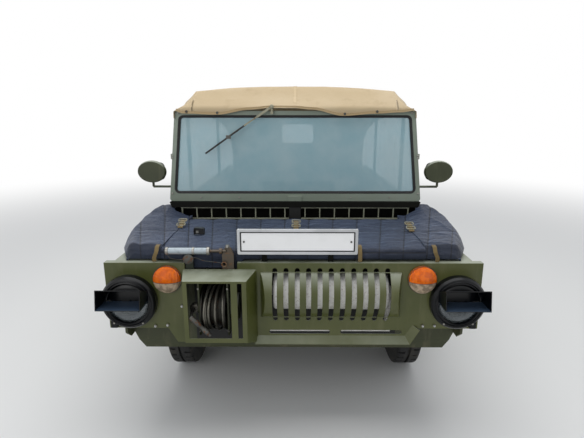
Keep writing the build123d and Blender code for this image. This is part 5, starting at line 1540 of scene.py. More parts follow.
    def roof_seams(self, cloth: BVHTree) -> list[Place]:
        """Lay the roof's long seams and give the places of their stitches."""
        form, places = Form(), []
        for x, start in self.seams:
            path = []
            for step in range(self.seam_steps + 1):
                distance = start + (self.seam_end - start) * step / self.seam_steps
                hit = cloth.ray_cast(at(x, distance, 2.2), -Z)[0]
                if hit is not None:
                    path.append(hit + Z * 0.0008)
            form.band(path, X, 0.020, 0.0018)
            for first, second in pairwise(path):
                for share in (0.2, 0.6):
                    spot = first.lerp(second, share)
                    places += [Place(spot + X * aside + Z * 0.0012, Z, Y) for aside in (-0.008, 0.008)]
        form.piece("canvas_seams", CANVAS, slot="canvas")
        return places

    def front_hem(self, cloth: BVHTree) -> list[Place]:
        """Lay the front valance's hem and give the places of its stitches."""
        hem = []
        for step in range(self.hem_steps + 1):
            x = -self.hem_half + 2 * self.hem_half * step / self.hem_steps
            hit = cloth.ray_cast(Vector((x, self.ahead, self.lip(x) + 0.007)), Y)[0]
            if hit is not None and hit.y < behind(0.72):
                hem.append(hit - Y * 0.0016)
        Form().band(hem, Z, 0.013, 0.0026).piece("canvas_front_hem", HEM, slot="canvas")
        lift = Vector((0, -0.0013, 0.0042))
        return [Place(first.lerp(second, 0.5) + lift, -Y, X) for first, second in pairwise(hem)]

    def side_bindings(self, cloth: BVHTree) -> None:
        """Bind the edges of both side openings."""
        heights = [self.edge - (self.edge - self.opening_foot) * k / 60 for k in range(61)]
        reach = self.opening_bend - self.opening_start
        edge = [at(0, self.opening_start + reach * k / 30, self.edge) for k in range(31)]
        edge += [at(0, self.curve(z), z) for z in heights]
        for side in (-1, 1):
            path = []
            for point in edge:
                hit = cloth.find_nearest(Vector((side * self.half, point.y, point.z)))[0]
                path.append(Vector((hit.x + side * 0.0012, point.y, point.z)))
            tubes(f"canvas_side_binding_{NAMES[side]}", [path], 0.0042, HEM)

    def window_binding(self, cloth: BVHTree) -> None:
        """Bind the edge of the rear window."""
        half_x, half_z, radius, middle = self.window
        start, height = self.curtain
        low, high = middle - half_z, middle + half_z
        corners = [Vector((x, behind(start) + (height - z) * self.curtain_slope, z)) for x, z in
                   ((-half_x, low), (half_x, low), (half_x, high), (-half_x, high))]
        ring = []
        for point in bend(corners, radius, 8, True):
            hit = cloth.find_nearest(point)[0]
            ring.append(Vector((point.x, hit.y + 0.0015, point.z)))
        tubes("rear_window_binding", [ring], 0.0046, HEM, closed=True)


@dataclass
class Shield:
    """Bolts and weld beads of the front shield."""

    bolts: tuple[Pair, ...] = ((-0.642, 0.558), (-0.585, 0.563), (0.601, 0.562), (0.655, 0.563), (-0.513, 0.658))
    bulge: tuple[float, float, float, float] = (-0.148, 0.492, 0.604, 0.822)
    winch_box: tuple[float, float, float, float] = (-0.500, -0.166, 0.475, 0.835)

    def build(self) -> None:
        """Build the bolts and the weld beads."""
        places = [Place(Vector((x, SHIELD_Y - 0.003, z)), -Y) for x, z in self.bolts]
        repeat("shield_washers", places, Shape.DISC, (0.014, 0.014, 0.003), STEEL)
        heads = [Place(place.point - Y * 0.003, -Y) for place in places]
        repeat("shield_bolts", heads, Shape.HEX, (0.009, 0.009, 0.006), HOLDER, taper=0.86)
        beads = []
        for left, right, low, high in (self.bulge, self.winch_box):
            corners = rectangle((left, low), (right, high), 0.0)
            path = [point + Y * (SHIELD_Y - 0.0005) for point in bend(corners, 0.012, 3, True)]
            beads.append([point for point in path if point.z < 0.866])
        tubes("shield_welds", beads, 0.0022, OLIVE, closed=True)


@dataclass
class Headlamps:
    """Bowl, bulb, rim and blackout mask inside each headlamp."""

    x: float = 0.748
    z: float = 0.686
    lens: float = 0.0927
    face: float = -0.0300
    crown: float = -0.0520
    mask_low: float = 0.7005

    def dome(self, radius: float, lift: float) -> list[tuple[float, float]]:
        """Outline of the lens's front with a lift, from its rim to its middle."""
        height = abs(self.crown + 0.034) + lift
        turns = [k * math.pi / 16 for k in range(8)]
        return [(radius * math.cos(t), 0.004 + height * math.sin(t)) for t in turns] + [(0.0, 0.004 + height)]

    def mask(self, side: int) -> None:
        """Black cap over the part of the lens above the hood's shelf."""
        centre = Vector((side * self.x, behind(self.face), self.z))
        cap = [(0.0, 0.0), (self.lens + 0.003, 0.0)] + self.dome(self.lens + 0.003, 0.004)
        mesh = Form().lathe(cap, centre, -Y, 56).mesh("mask", BLACK_ENAMEL)
        work = bmesh.new()
        work.from_mesh(mesh)
        everything = work.verts[:] + work.edges[:] + work.faces[:]
        bmesh.ops.bisect_plane(work, geom=everything, plane_co=Z * self.mask_low, plane_no=Z, clear_inner=True)
        bmesh.ops.holes_fill(work, edges=[edge for edge in work.edges if edge.is_boundary])
        bmesh.ops.recalc_face_normals(work, faces=work.faces)
        work.to_mesh(mesh)
        work.free()
        mesh.name = f"lamp_mask_{NAMES[side]}"
        shown(mesh, "chassis")

    def build(self) -> None:
        """Build both headlamps' insides."""
        for side in (-1, 1):
            name = NAMES[side]
            centre = Vector((side * self.x, behind(self.face), self.z))
            bowl = [(0.0, 0.0006), (0.030, 0.0008), (0.055, 0.0016), (0.075, 0.0030), (0.084, 0.0042), (0.086, 0.0030),
                    (0.086, -0.001), (0.0, -0.001)]
            Form().lathe(bowl, centre, -Y).piece(f"lamp_bowl_{name}", REFLECTOR, slot="silver_paint")
            bulb = [(0.0, 0.0), (0.010, 0.0), (0.010, 0.006), (0.013, 0.010), (0.009, 0.015), (0.0, 0.016)]
            Form().lathe(bulb, centre, -Y, 20).piece(f"lamp_bulb_{name}", CLEAR_LENS, slot="lamp_glass")
            rim = circle(centre + Y * -0.005, 0.0955, Y, 64)
            tubes(f"lamp_rim_{name}", [rim], 0.0034, BLACK_ENAMEL, closed=True)
            bead = circle(at(side * self.x, -0.047, self.z), 0.108, Y, 64)
            tubes(f"lamp_bead_{name}", [bead], 0.0022, BLACK_ENAMEL, closed=True)
            screws = [Place(at(side * self.x + 0.113 * math.sin(t), -0.046, self.z - 0.113 * math.cos(t)), -Y)
                      for t in (-0.62, 0.62)]
            repeat(f"lamp_screws_{name}", screws, Shape.DISC, (0.009, 0.009, 0.004), STEEL)
            self.mask(side)


@dataclass
class TurnLamps:
    """Two-coloured lenses of the turn lamps, with stepped rings, on their bases."""

    places: tuple[tuple[int, float], ...] = ((-1, -0.571), (1, 0.585))
    z: float = 0.790
    radius: float = 0.0640
    depth: float = 0.046

    def outline(self) -> list[tuple[float, float]]:
        """Outline of a lens from its base to its middle, with a step for each ring."""
        points = [(0.0, -0.001), (self.radius, -0.001), (self.radius, 0.008), (self.radius - 0.002, 0.010)]
        for ring in range(9):
            turn = math.pi / 2 * (ring + 1) / 9.4
            radius = (self.radius - 0.002) * math.cos(turn)
            height = 0.010 + (self.depth - 0.010) * math.sin(turn)
            points += [(radius + 0.0012, height - 0.0010), (radius, height)]
        return points + [(0.0, self.depth)]

    def build(self) -> None:
        """Build the lenses, their joints and rims."""
        for side, x in self.places:
            name = NAMES[side]
            centre = Vector((x, SHIELD_Y, self.z))
            lens = Form().lathe(self.outline(), centre, -Y, 64).piece(f"turn_lens_{name}", TURN_LENS, slot="amber")
            if side < 0:
                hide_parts("turn_lamps")
            rim = circle(centre - Y * 0.009, self.radius, Y, 64)
            tubes(f"turn_lamp_rim_{name}", [rim], 0.0016, DARK_STEEL, closed=True)
            joint = []
            for k in range(-9, 10):
                aside = 0.0066 * k
                rise = math.sqrt(max(0.0, 1 - (aside ** 2 + 0.0055 ** 2) / (self.radius - 0.002) ** 2))
                joint.append(Vector((x + aside, SHIELD_Y - 0.0105 - (self.depth - 0.010) * rise, self.z - 0.0055)))
            tubes(f"turn_lamp_joint_{name}", [joint], 0.0012, RUSTY)


@dataclass
class Winch:
    """Tight and loose cable on the drum, the clutch's handle and knob, and the bolts of the plates and gear case."""

    axis_y: float = -1.663
    axis_z: float = 0.648
    first: float = -0.4045
    pitch: float = 0.0110
    turns: int = 9
    cable: float = 0.0052
    tight: float = 0.0880
    loops: tuple[tuple[float, float, float], ...] = (
        (-0.386, 0.1030, 0.004), (-0.374, 0.1085, 0.022), (-0.356, 0.1060, 0.020), (-0.336, 0.1090, 0.010),
        (-0.318, 0.1035, -0.006))

    def turn(self, index: int) -> list[Vector]:
        """One tight turn of the cable on the drum."""
        points = []
        for step in range(56):
            t = 2 * math.pi * step / 56
            x = self.first + (index + t / (2 * math.pi)) * self.pitch
            points.append(Vector((x, self.axis_y + self.tight * math.cos(t), self.axis_z + self.tight * math.sin(t))))
        return points

    def loop(self, x: float, radius: float, lean: float) -> list[Vector]:
        """One loose turn of the cable, leaning over to one side at the front."""
        points = []
        for step in range(64):
            t = 2 * math.pi * step / 64
            wobble = radius + 0.0022 * math.sin(3 * t + 40 * x)
            y, z = self.axis_y + wobble * math.cos(t), self.axis_z + wobble * math.sin(t)
            points.append(Vector((x + lean * math.cos(t), y, z)))
        return points

    def build(self) -> None:
        """Build the winding and the small parts of the winch."""
        winding: Row = []
        for index in range(self.turns - 1):
            winding += self.turn(index)
        tubes("winch_cable_tight", [winding], self.cable, OILY_STEEL, "winch_drum")
        loose = [self.loop(*row) for row in self.loops]
        tubes("winch_cable_loose", loose, 0.0062, CABLE, "winch_drum", True)
        spokes = [Place(Vector((-0.4125, self.axis_y + 0.085 * math.cos(t), self.axis_z + 0.085 * math.sin(t))), -X)
                  for t in (k * math.pi / 3 for k in range(6))]
        repeat("drum_rivets", spokes, Shape.DOME, (0.014, 0.014, 0.006), STEEL, "winch_drum")
        start, end = Vector((-0.452, -1.7900, 0.652)), Vector((-0.366, -1.7900, 0.560))
        run = (end - start).normalized()
        reach = (end - start).length
        barrel = [(0.0, 0.0), (0.010, 0.0), (0.0118, 0.003), (0.0118, 0.055), (0.0095, 0.058), (0.0095, 0.078),
                  (0.0118, 0.081), (0.0118, reach - 0.016), (0.0085, reach - 0.012), (0.0085, reach), (0.0, reach)]
        Form().lathe(barrel, start, run, 24).piece("winch_handle", DARK_STEEL, slot="bare_steel")
        arm = [Vector((-0.446, -1.700, 0.660)), Vector((-0.452, -1.760, 0.658)), start + run * 0.006]
        tubes("winch_handle_arm", [bend(arm, 0.014, 4)], 0.0075, DARK_STEEL)
        knob = [(0.0, 0.0), (0.020, 0.0), (0.024, 0.004), (0.024, 0.016), (0.018, 0.022), (0.0, 0.024)]
        form = Form().lathe(knob, Vector((-0.446, -1.705, 0.660)), -Y, 32)
        form.piece("winch_clutch_knob", CABLE, slot="bare_steel", bevel=0.001)
        plates = [Place(Vector((x, -1.7435, z)), -Y) for x in (-0.422, -0.292) for z in (0.560, 0.765)]
        repeat("winch_plate_bolts", plates, Shape.HEX, (0.010, 0.010, 0.006), STEEL)
        gear = [Place(Vector((-0.273 + 0.018 * k, self.axis_y - 0.0605, self.axis_z + 0.012 * k)), -Y)
                for k in (-1, 1)]
        repeat("winch_gear_bolts", gear, Shape.HEX, (0.012, 0.012, 0.008), STEEL)


@dataclass
class CableGuide:
    """Collars, roller end, safety wire, nut and eye of the cable guide on top of the winch."""

    tube_y: float = -1.687
    tube_z: float = 0.922
    collars: tuple[tuple[float, float, float], ...] = (
        (-0.571, 0.012, 0.0175), (-0.452, 0.010, 0.0178), (-0.386, 0.012, 0.0185))
    wire: tuple[tuple[float, float, float], ...] = (
        (-0.566, -0.004, 0.938), (-0.567, -0.008, 0.912), (-0.553, -0.010, 0.890), (-0.515, -0.010, 0.884),
        (-0.478, -0.012, 0.888), (-0.442, -0.010, 0.896), (-0.402, -0.007, 0.878), (-0.360, -0.005, 0.872),
        (-0.314, -0.003, 0.866))

    def build(self) -> None:
        """Build the small parts of the guide."""
        y, z = self.tube_y, self.tube_z
        for index, (x, reach, radius) in enumerate(self.collars):
            collar = Form().lathe([(0.0, 0.0), (radius, 0.0), (radius, reach), (0.0, reach)], Vector((x, y, z)), X, 32)
            collar.piece(f"guide_collar_{index}", STEEL, slot="bare_steel", bevel=0.001)
        roller = [(0.0, 0.0), (0.021, 0.0), (0.024, 0.004), (0.024, 0.010), (0.012, 0.014), (0.0, 0.015)]
        form = Form().lathe(roller, Vector((-0.470, y - 0.002, 0.886)), -Y, 32)
        form.piece("guide_roller", DARK_STEEL, slot="bare_steel", bevel=0.001)
        line = bend([Vector((x, y + out, height)) for x, out, height in self.wire], 0.012, 4)
        tubes("guide_safety_wire", [line], 0.0014, DARK_STEEL)
        nut = Place(Vector((-0.294, y, 0.9400)), Z)
        repeat("guide_nuts", [nut], Shape.HEX, (0.020, 0.020, 0.010), STEEL)
        eye = circle(Vector((-0.310, y - 0.010, 0.862)), 0.0105, Y, 32)
        tubes("guide_eye", [eye], 0.0026, RUSTY, closed=True)


@dataclass
class PlateHolder:
    """Silver frame, black line and screws of the blank plate on the engine lid."""

    left: float = -0.250
    right: float = 0.290
    low: float = 0.905
    high: float = 1.023
    rim: float = 0.013
    face: float = 0.008

    def outline(self, inset: float, distance: float) -> Row:
        """Rounded outline at an inset from the plate's edge."""
        low, high = (self.left + inset, self.low + inset), (self.right - inset, self.high - inset)
        corners = rectangle(low, high, behind(distance))
        return bend(corners, max(0.003, 0.008 - inset / 3), 4, True)

    def build(self) -> None:
        """Build the frame, the line and the screws."""
        front = self.face - 0.0045
        holder = Form().frame_ring(self.outline(0.0, front), self.outline(self.rim, front), Y * 0.010)
        holder.piece("plate_holder", HOLDER, "engine_lid", "silver_paint", 0.0012)
        front = self.face - 0.0014
        outer, inner = self.outline(self.rim + 0.0002, front), self.outline(self.rim + 0.0052, front)
        line = Form().frame_ring(outer, inner, Y * 0.0016)
        line.piece("plate_line", PLATE_BLACK, "engine_lid", "black_plastic")
        middle = (self.low + self.high) / 2
        screws = [Place(at(x, self.face - 0.001, middle), -Y) for x in (self.left + 0.030, self.right - 0.030)]
        repeat("plate_screws", screws, Shape.DISC, (0.009, 0.009, 0.003), DARK_STEEL, "engine_lid")


@dataclass
class Windscreen:
    """Rubber glazing strip, wiper and frame screws on the windscreen."""

    foot_z: float = 1.014
    top_z: float = 1.537
    foot_half: float = 0.748
    top_half: float = 0.688
    bar: float = 0.024
    sill: float = 0.044
    pivot: tuple[float, float] = (-0.130, 1.560)
    knee: tuple[float, float] = (-0.384, 1.391)
    blade: tuple[tuple[float, float], tuple[float, float]] = ((-0.277, 1.462), (-0.516, 1.297))
    wiper_plane: float = 0.672
    screws: tuple[Pair, ...] = (
        (0.714, 1.270), (0.714, 1.284), (0.728, 1.060), (0.664, 1.525), (0.330, 1.036), (0.560, 1.036))

    def pane(self, inset: float, distance: float) -> Row:
        """Outline of the glass opening, drawn in by an inset."""
        low, high = self.foot_z + self.sill + inset, self.top_z - self.bar - inset
        halves = []
        for z in (low, high):
            share = (z - self.foot_z) / (self.top_z - self.foot_z)
            halves.append(self.foot_half + (self.top_half - self.foot_half) * share - self.bar - inset)
        foot, top = halves
        corners = [at(x, distance, z) for x, z in ((-foot, low), (foot, low), (top, high), (-top, high))]
        return bend(corners, max(0.012, 0.030 - inset), 8, True)

    def wiper(self) -> None:
        """Arm, blade and pivot of the wiper."""
        y = behind(self.wiper_plane)
        arm = [Vector((self.pivot[0], y - 0.001, self.pivot[1])), Vector((self.knee[0], y + 0.001, self.knee[1]))]
        along_arm = (arm[1] - arm[0]).normalized()
        across = along_arm.cross(Y)
        fine = [arm[0].lerp(arm[1], k / 12) for k in range(13)]
        form = Form().band(fine[:5], across, 0.0125, 0.006).band(fine[4:], across, 0.0085, 0.0035)
        form.lathe([(0.0, -0.004), (0.011, -0.004), (0.012, 0.002), (0.009, 0.008), (0.0, 0.010)], arm[0], -Y, 24)
        post = [(0.0, 0.0), (0.006, 0.0), (0.006, 0.036), (0.0, 0.036)]
        form.lathe(post, Vector((self.pivot[0], y, self.pivot[1] - 0.034)), Z, 16)
        shaft = [(0.0, 0.0), (0.0085, 0.0), (0.0085, 0.034), (0.0, 0.034)]
        form.lathe(shaft, at(self.pivot[0], 0.664, 1.526), Y, 20)
        piece = form.piece("wiper_arm", HEM_METAL, slot="bare_steel")
        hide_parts("wiper")
        ends = [Vector((x, y + 0.001, z)) for x, z in self.blade]
        along_blade = (ends[1] - ends[0]).normalized()
        side = along_blade.cross(Y)
        line = [ends[0].lerp(ends[1], k / 10) for k in range(11)]
        rubber = Form().band(line, side, 0.010, 0.005)
        rubber.band([point + Y * 0.008 for point in line], side, 0.0035, 0.014)
        rubber.piece("wiper_blade", GASKET, slot="black_plastic")
        clip = ends[0].lerp(ends[1], 0.43)
        holder = Form().slab(clip - Vector((0.014, 0.006, 0.010)), clip + Vector((0.014, 0.003, 0.010)))
        holder.piece("wiper_clip", DARK_STEEL, slot="bare_steel", bevel=0.001)

    def build(self) -> None:
        """Build the glazing strip, the wiper and the frame's screws."""
        strip = Form().frame_ring(self.pane(-0.002, 0.7005), self.pane(0.015, 0.7025), Y * 0.022)
        strip.piece("glazing_strip", GASKET, slot="black_plastic", bevel=0.002)
        tubes("glazing_bead", [self.pane(0.006, 0.7005)], 0.0024, GASKET, closed=True)
        self.wiper()
        places = [Place(at(side * x, 0.6895, z), -Y) for side in (-1, 1) for x, z in self.screws]
        repeat("screen_frame_screws", places, Shape.DOME, (0.011, 0.011, 0.006), STEEL)


@dataclass
class Mirrors:
    """Glass and rim on the back of each mirror."""

    x: float = 0.845
    z: float = 1.188
    rear: float = 0.7255
    half_x: float = 0.072
    half_z: float = 0.053

    def build(self) -> None:
        """Build both mirrors' glasses and rims."""
        for side in (-1, 1):
            x = side * self.x
            middle = at(x, self.rear, self.z)
            low, high = (x - self.half_x, self.z - self.half_z), (x + self.half_x, self.z + self.half_z)
            corners = rectangle(low, high, behind(self.rear))
            inner = bend([corner.lerp(middle, 0.05) for corner in corners], 0.034, 8, True)
            rim = Form().frame_ring(bend(corners, 0.036, 8, True), inner, Y * 0.004)
            rim.piece(f"mirror_rim_{NAMES[side]}", GASKET, slot="black_plastic")
            form = Form()
            outline = bend([corner.lerp(middle, 0.04) for corner in corners], 0.034, 8, True)
            form.capped([form.row(outline), form.row([point + Y * 0.002 for point in outline])])
            form.piece(f"mirror_glass_{NAMES[side]}", MIRROR, slot="window_glass")


@dataclass
class Wheels:
    """Nuts, hub cap, valve and sidewall ribs of each wheel."""

    track: float = 0.660
    axles: tuple[tuple[str, float], ...] = (("front", -1.001), ("rear", 0.799))
    height: float = 0.315
    nuts: int = 6
    nut_circle: float = 0.066
    ribs: tuple[Pair, ...] = ((0.0775, 0.262), (0.0778, 0.232), (0.0745, 0.196))

    def build(self) -> None:
        """Build the fittings of every wheel."""
        for end, y in self.axles:
            for side in (-1, 1):
                body = f"wheel_{end}_{NAMES[side]}"
                out = X * side
                centre = Vector((side * self.track, y, self.height))
                turns = [2 * math.pi * k / self.nuts for k in range(self.nuts)]
                spokes = [(Y * math.cos(t) + Z * math.sin(t)) * self.nut_circle for t in turns]
                places = [Place(centre + out * 0.0185 + spoke, out) for spoke in spokes]
                repeat(f"{body}_nuts", places, Shape.HEX, (0.019, 0.019, 0.012), STEEL, body)
                cap = [(0.0, 0.0), (0.026, 0.0), (0.026, 0.006), (0.022, 0.011), (0.0, 0.013)]
                form = Form().lathe(cap, centre + out * 0.048, out, 32)
                form.piece(f"{body}_hub_cap", CAST, body, "cast_iron", 0.001)
                valve = [(0.0, -0.004), (0.004, -0.004), (0.004, 0.020), (0.0055, 0.021), (0.0055, 0.029), (0.0, 0.030)]
                form = Form().lathe(valve, centre + out * 0.026 + Z * 0.140, out, 12)
                form.piece(f"{body}_valve", GASKET, body, "black_plastic")
                rings = [circle(centre + out * reach, radius, X, 96) for reach, radius in self.ribs]
                tubes(f"{body}_sidewall_ribs", rings, 0.0022, TYRE, body, True)


@dataclass
class Seats:
    """Three seats with a sewn cushion and a sewn back, swollen by a short cloth simulation."""

    places: tuple[tuple[str, tuple[float, ...], float, float], ...] = (
        ("driver_seat", (0.0,), 1.560, 0.210), ("passenger_seats", (-0.512, 0.512), 1.640, 0.152))
    low: float = 0.460
    cushion_high: float = 0.550
    back_low: float = 0.562
    back_high: float = 0.858
    depth: float = 0.400
    voxel: float = 0.009
    pressure: float = 4.0
    frames: int = 20
    cap: float = 0.010
    inset: float = 0.006

    def swollen(self, name: str, form: Form) -> Mesh:
        """Closed form filled out by the cloth simulation.

        Args:
            name: name of the new mesh.
            form: the pad's flat-sided start.

        Returns:
            Smooth mesh of the pad.
        """
        piece = bpy.data.objects.new(name, form.mesh(name, LEATHERETTE))
        bpy.context.scene.collection.objects.link(piece)
        voxels = piece.modifiers.new("voxels", "REMESH")
        voxels.mode = "VOXEL"
        voxels.voxel_size = self.voxel
        self.apply(piece)
        rest = [vertex.co.copy() for vertex in piece.data.vertices]
        cloth = piece.modifiers.new("filling", "CLOTH")
        cloth.settings.use_pressure = True
        cloth.settings.uniform_pressure_force = self.pressure
        cloth.settings.effector_weights.gravity = 0
        cloth.point_cache.frame_start, cloth.point_cache.frame_end = 1, self.frames
        for moment in range(1, self.frames + 1):
            bpy.context.scene.frame_set(moment)
        self.apply(piece)
        bpy.context.scene.frame_set(1)
        for vertex, start in zip(piece.data.vertices, rest):
            move = vertex.co - start
            if move.length > self.cap:
                vertex.co = start + move.normalized() * self.cap
        smooth = piece.modifiers.new("smooth", "SUBSURF")
        smooth.levels = smooth.render_levels = 1
        self.apply(piece)
        mesh = piece.data
        bpy.data.objects.remove(piece)
        return mesh

    @staticmethod
    def apply(piece: Object) -> None:
        """Turn the piece's modifiers into its mesh."""
        graph = bpy.context.evaluated_depsgraph_get()
        mesh = bpy.data.meshes.new_from_object(piece.evaluated_get(graph), depsgraph=graph)
        piece.modifiers.clear()
        piece.data = mesh

    def cushion(self, half: float, front: float) -> Mesh:
        """Cushion with two sewn channels running back."""
        rows = []
        form = Form()
        levels = ((self.low + 0.003, 0.014), (self.low + 0.016, self.inset), (self.cushion_high - 0.030, self.inset),
                  (self.cushion_high - 0.012, 0.016))
        for z, inset in levels:
            low = (-half + inset, behind(front) + inset)
            high = (half - inset, behind(front + self.depth) - inset)
            rows.append(form.row(bend(plan(low, high, z), 0.036, 5, True)))
        mesh = self.swollen("cushion", form.capped(rows))
        for vertex in mesh.vertices:
            place = vertex.co
            if place.z > self.cushion_high - 0.040:
                for seam in (-half / 3, half / 3):
                    place.z -= 0.008 * math.exp(-((place.x - seam) / 0.007) ** 2)
                place.z += 0.0012 * rough(place, 18, 3)
        return mesh

    def back(self, half: float, front: float) -> Mesh:
        """Leaning back pad with two sewn channels."""
        foot, top = front + 0.435, front + 0.455
        side = half - 0.006 - self.inset
        form = Form()
        rows = []
        for share in (0.0, 0.06, 0.5, 0.94, 1.0):
            z = self.back_low + self.inset + (self.back_high - self.back_low - 2 * self.inset) * share
            end = 0.010 if share in (0.0, 1.0) else 0.0
            rear = foot + (top - foot) * share - self.inset - end
            near = foot - 0.062 + (top - 0.050 - foot + 0.062) * share + self.inset + end + 0.006
            corners = plan((-side + end, behind(near)), (side - end, behind(rear)), z)
            rows.append(form.row(bend(corners, 0.014, 3, True)))
        mesh = self.swollen("back", form.capped(rows))
        middle = behind(foot - 0.030)
        for vertex in mesh.vertices:
            place = vertex.co
            if place.y < middle:
                for seam in (-half / 3, half / 3):
                    place.y += 0.007 * math.exp(-((place.x - seam) / 0.007) ** 2)
                place.y += 0.0010 * rough(place, 18, 3)
        return mesh

    def build(self) -> None:
        """Build the pads of all the seats."""
        for node, middles, front, half in self.places:
            pads = [self.cushion(half, front), self.back(half, front)]
            work = bmesh.new()
            for x in middles:
                for pad in pads:
                    copy = pad.copy()
                    for vertex in copy.vertices:
                        vertex.co.x += x
                    work.from_mesh(copy)
            bmesh.ops.recalc_face_normals(work, faces=work.faces)
            joined = bpy.data.meshes.new(f"{node}_pads")
            work.to_mesh(joined)
            work.free()
            joined.materials.append(LEATHERETTE)
            joined.shade_smooth()
            piece = shown(joined, "chassis")
            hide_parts(node)


@dataclass
class Dashboard:
    """Dials and knobs on the instrument box."""

    dials: tuple[tuple[float, float, float], ...] = (
        (-0.085, 0.905, 0.052), (0.085, 0.905, 0.052), (0.0, 0.862, 0.026), (-0.175, 0.868, 0.026),
        (0.175, 0.868, 0.026))
    knobs: tuple[float, ...] = (-0.19, -0.13, -0.07, 0.07, 0.13, 0.19)
    knob_z: float = 0.812

    def surface(self, z: float) -> float:
        """Y of the instrument box's rear face at a height."""
        return behind(straight([(0.770, 0.838), (0.960, 0.852), (0.992, 0.876)], z))

    def build(self) -> None:
        """Build the dials and knobs."""
        ticks, rims, needles = [], [], []
        faces = Form()
        for x, z, radius in self.dials:
            centre = Vector((x, self.surface(z) + 0.001, z))
            faces.lathe([(0.0, 0.0), (radius, 0.0), (radius, 0.004), (0.0, 0.004)], centre - Y * 0.002, Y, 40)
            rims.append(circle(centre + Y * 0.003, radius + 0.001, Y, 48))
            for k in range(25):
                t = math.radians(-30 + 240 * k / 24)
                spoke = Vector((-math.cos(t), 0, math.sin(t)))
                ticks.append(Place(centre + Y * 0.0025 + spoke * radius * 0.84, Y, spoke))
            lean = math.radians(200 - 400 * radius)
            pin = centre + Y * 0.004
            needles.append([pin, pin + Vector((math.cos(lean), 0, math.sin(lean))) * radius * 0.72])
        faces.piece("dial_faces", PLATE_BLACK, slot="black_plastic")
        tubes("dial_rims", rims, 0.0026, HOLDER, closed=True)
        repeat("dial_ticks", ticks, Shape.BLOCK, (0.007, 0.0014, 0.0008), DIAL_WHITE)
        tubes("dial_needles", needles, 0.0011, AMBER)
        knobs = [Place(Vector((x, self.surface(self.knob_z) + 0.006, self.knob_z)), Y) for x in self.knobs]
        repeat("dash_knobs", knobs, Shape.DISC, (0.020, 0.020, 0.016), BLACK_PLASTIC, taper=0.8)


@dataclass
class HullFittings:
    """Rivets along the seams, lashing hooks and grab handles of the hull."""

    half: float = 0.820
    start: float = 0.780
    end: float = 3.420

    def build(self) -> None:
        """Build the fittings on both sides and the tail."""
        rivets, hooks = [], []
        for side in (-1, 1):
            count = 44
            for k in range(count):
                distance = self.start + (self.end - self.start) * k / (count - 1)
                rivets.append(Place(Vector((side * (self.half + 0.0004), behind(distance), 0.884)), X * side))
            for distance in (1.25, 1.95, 2.65, 3.25):
                y = behind(distance)
                points = [Vector((side * (self.half + out), y + run, 0.845)) for out, run in
                          ((-0.002, -0.030), (0.020, -0.030), (0.020, 0.030), (-0.002, 0.030))]
                hooks.append(bend(points, 0.012, 5))
        repeat("gunwale_rivets", rivets, Shape.DOME, (0.010, 0.010, 0.0055), OLIVE)
        tubes("lashing_hooks", hooks, 0.0042, OLIVE)
        columns, heights = (-0.79, -0.56, 0.56, 0.79), (0.56, 0.64, 0.72, 0.865)
        tail = [Place(at(x, 3.4802, z), Y) for x in columns for z in heights]
        repeat("tail_rivets", tail, Shape.DOME, (0.011, 0.011, 0.006), OLIVE)
        rails = []
        for side in (-1, 1):
            points = [at(side * 0.640, distance, z) for distance, z in
                      ((3.478, 0.655), (3.512, 0.655), (3.512, 0.735), (3.478, 0.735))]
            rails.append(bend(points, 0.012, 5))
        tubes("tail_grab_handles", rails, 0.006, OLIVE)


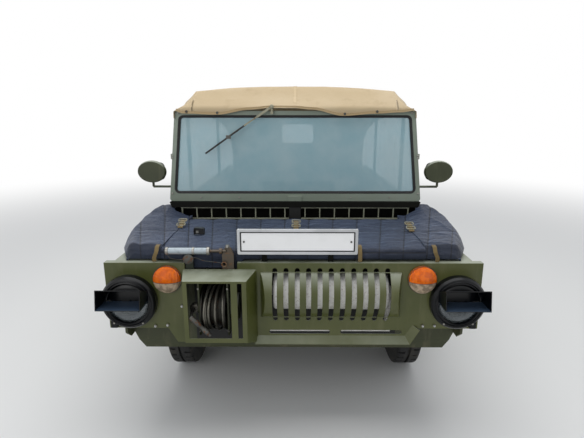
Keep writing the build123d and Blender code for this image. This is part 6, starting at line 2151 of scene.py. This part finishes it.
@dataclass
class TailDetails:
    """Lamp rims and tailgate latches."""

    lamp_x: float = 0.650
    lamp_z: float = 0.810
    gate_rear: float = 1.801

    def build(self) -> None:
        """Build the rims on the tail lamps and the latches on the tailgate."""
        for side in (-1, 1):
            centre = Vector((side * self.lamp_x, behind(3.4805), self.lamp_z))
            sizes = ((0.052, 0.047), (0.0455, 0.0405))
            outer, inner = (bend([centre + corner for corner in rectangle((-w, -h), (w, h), 0.0)], 0.010, 4, True)
                            for w, h in sizes)
            rim = Form().frame_ring(outer, inner, Y * 0.012)
            rim.piece(f"tail_lamp_rim_{NAMES[side]}", GASKET, slot="black_plastic")
            x = side * 0.425
            plate = Form().slab((x - 0.032, self.gate_rear - 0.001, 0.812), (x + 0.032, self.gate_rear + 0.004, 0.856))
            plate.piece(f"latch_plate_{NAMES[side]}", DARK_GREEN, "tailgate", "dark_paint", 0.001)
            lever = [Vector((x + run, self.gate_rear + out, z)) for run, out, z in
                     ((0.0, 0.004, 0.834), (0.0, 0.013, 0.834), (-side * 0.060, 0.013, 0.822))]
            tubes(f"latch_lever_{NAMES[side]}", [bend(lever, 0.005, 4)], 0.005, STEEL, "tailgate")


@dataclass
class EngineDetails:
    """Cooling fins, top cover and oil cap on the engine under the lid, and the muffler's straps."""

    half: float = 0.240
    high: float = 0.800
    fin_rows: int = 11
    straps: Pair = (0.02, 0.33)

    def build(self) -> None:
        """Build the engine's fittings and the straps."""
        fins = [Place(at(side * (self.half + 0.006), 0.445, 0.440 + 0.022 * k), X * side, Y)
                for side in (-1, 1) for k in range(self.fin_rows)]
        repeat("engine_fins", fins, Shape.BLOCK, (0.300, 0.004, 0.014), ENGINE_GREY)
        cover = Form().slab((-0.180, behind(0.330), self.high - 0.001), (0.180, behind(0.520), self.high + 0.018))
        cover.piece("engine_top_cover", ENGINE_GREY, slot="cast_iron", bevel=0.006)
        bolts = [Place(at(x, d, self.high + 0.019), Z) for x in (-0.160, 0.160) for d in (0.350, 0.425, 0.500)]
        repeat("engine_cover_bolts", bolts, Shape.HEX, (0.012, 0.012, 0.006), STEEL)
        cap = [(0.0, 0.0), (0.024, 0.0), (0.024, 0.014), (0.018, 0.018), (0.0, 0.018)]
        form = Form().lathe(cap, at(0.150, 0.580, self.high - 0.001), Z, 32)
        form.piece("oil_cap", BLACK_PLASTIC, slot="black_plastic", bevel=0.001)
        strap = [(0.0855, -0.014), (0.0885, -0.014), (0.0885, 0.014), (0.0855, 0.014), (0.0855, -0.014)]
        for index, x in enumerate(self.straps):
            form = Form().lathe(strap, at(x, 0.057, 0.713), X, 64)
            form.piece(f"muffler_strap_{index}", SILVER, slot="silver_paint")


def main() -> None:
    """Build the studio and every sub-assembly in order."""
    logging.basicConfig(level=logging.INFO, format="%(name)s %(message)s", stream=sys.stdout)
    Studio().build()
    NodeFinishes().build()
    for assembly in (QuiltedCover, Canopy, Shield, Headlamps, TurnLamps, Winch, CableGuide, PlateHolder, Windscreen,
                     Mirrors, Wheels, Seats, Dashboard, HullFittings, TailDetails, EngineDetails):
        assembly().build()


if __name__ == "__main__":
    main()
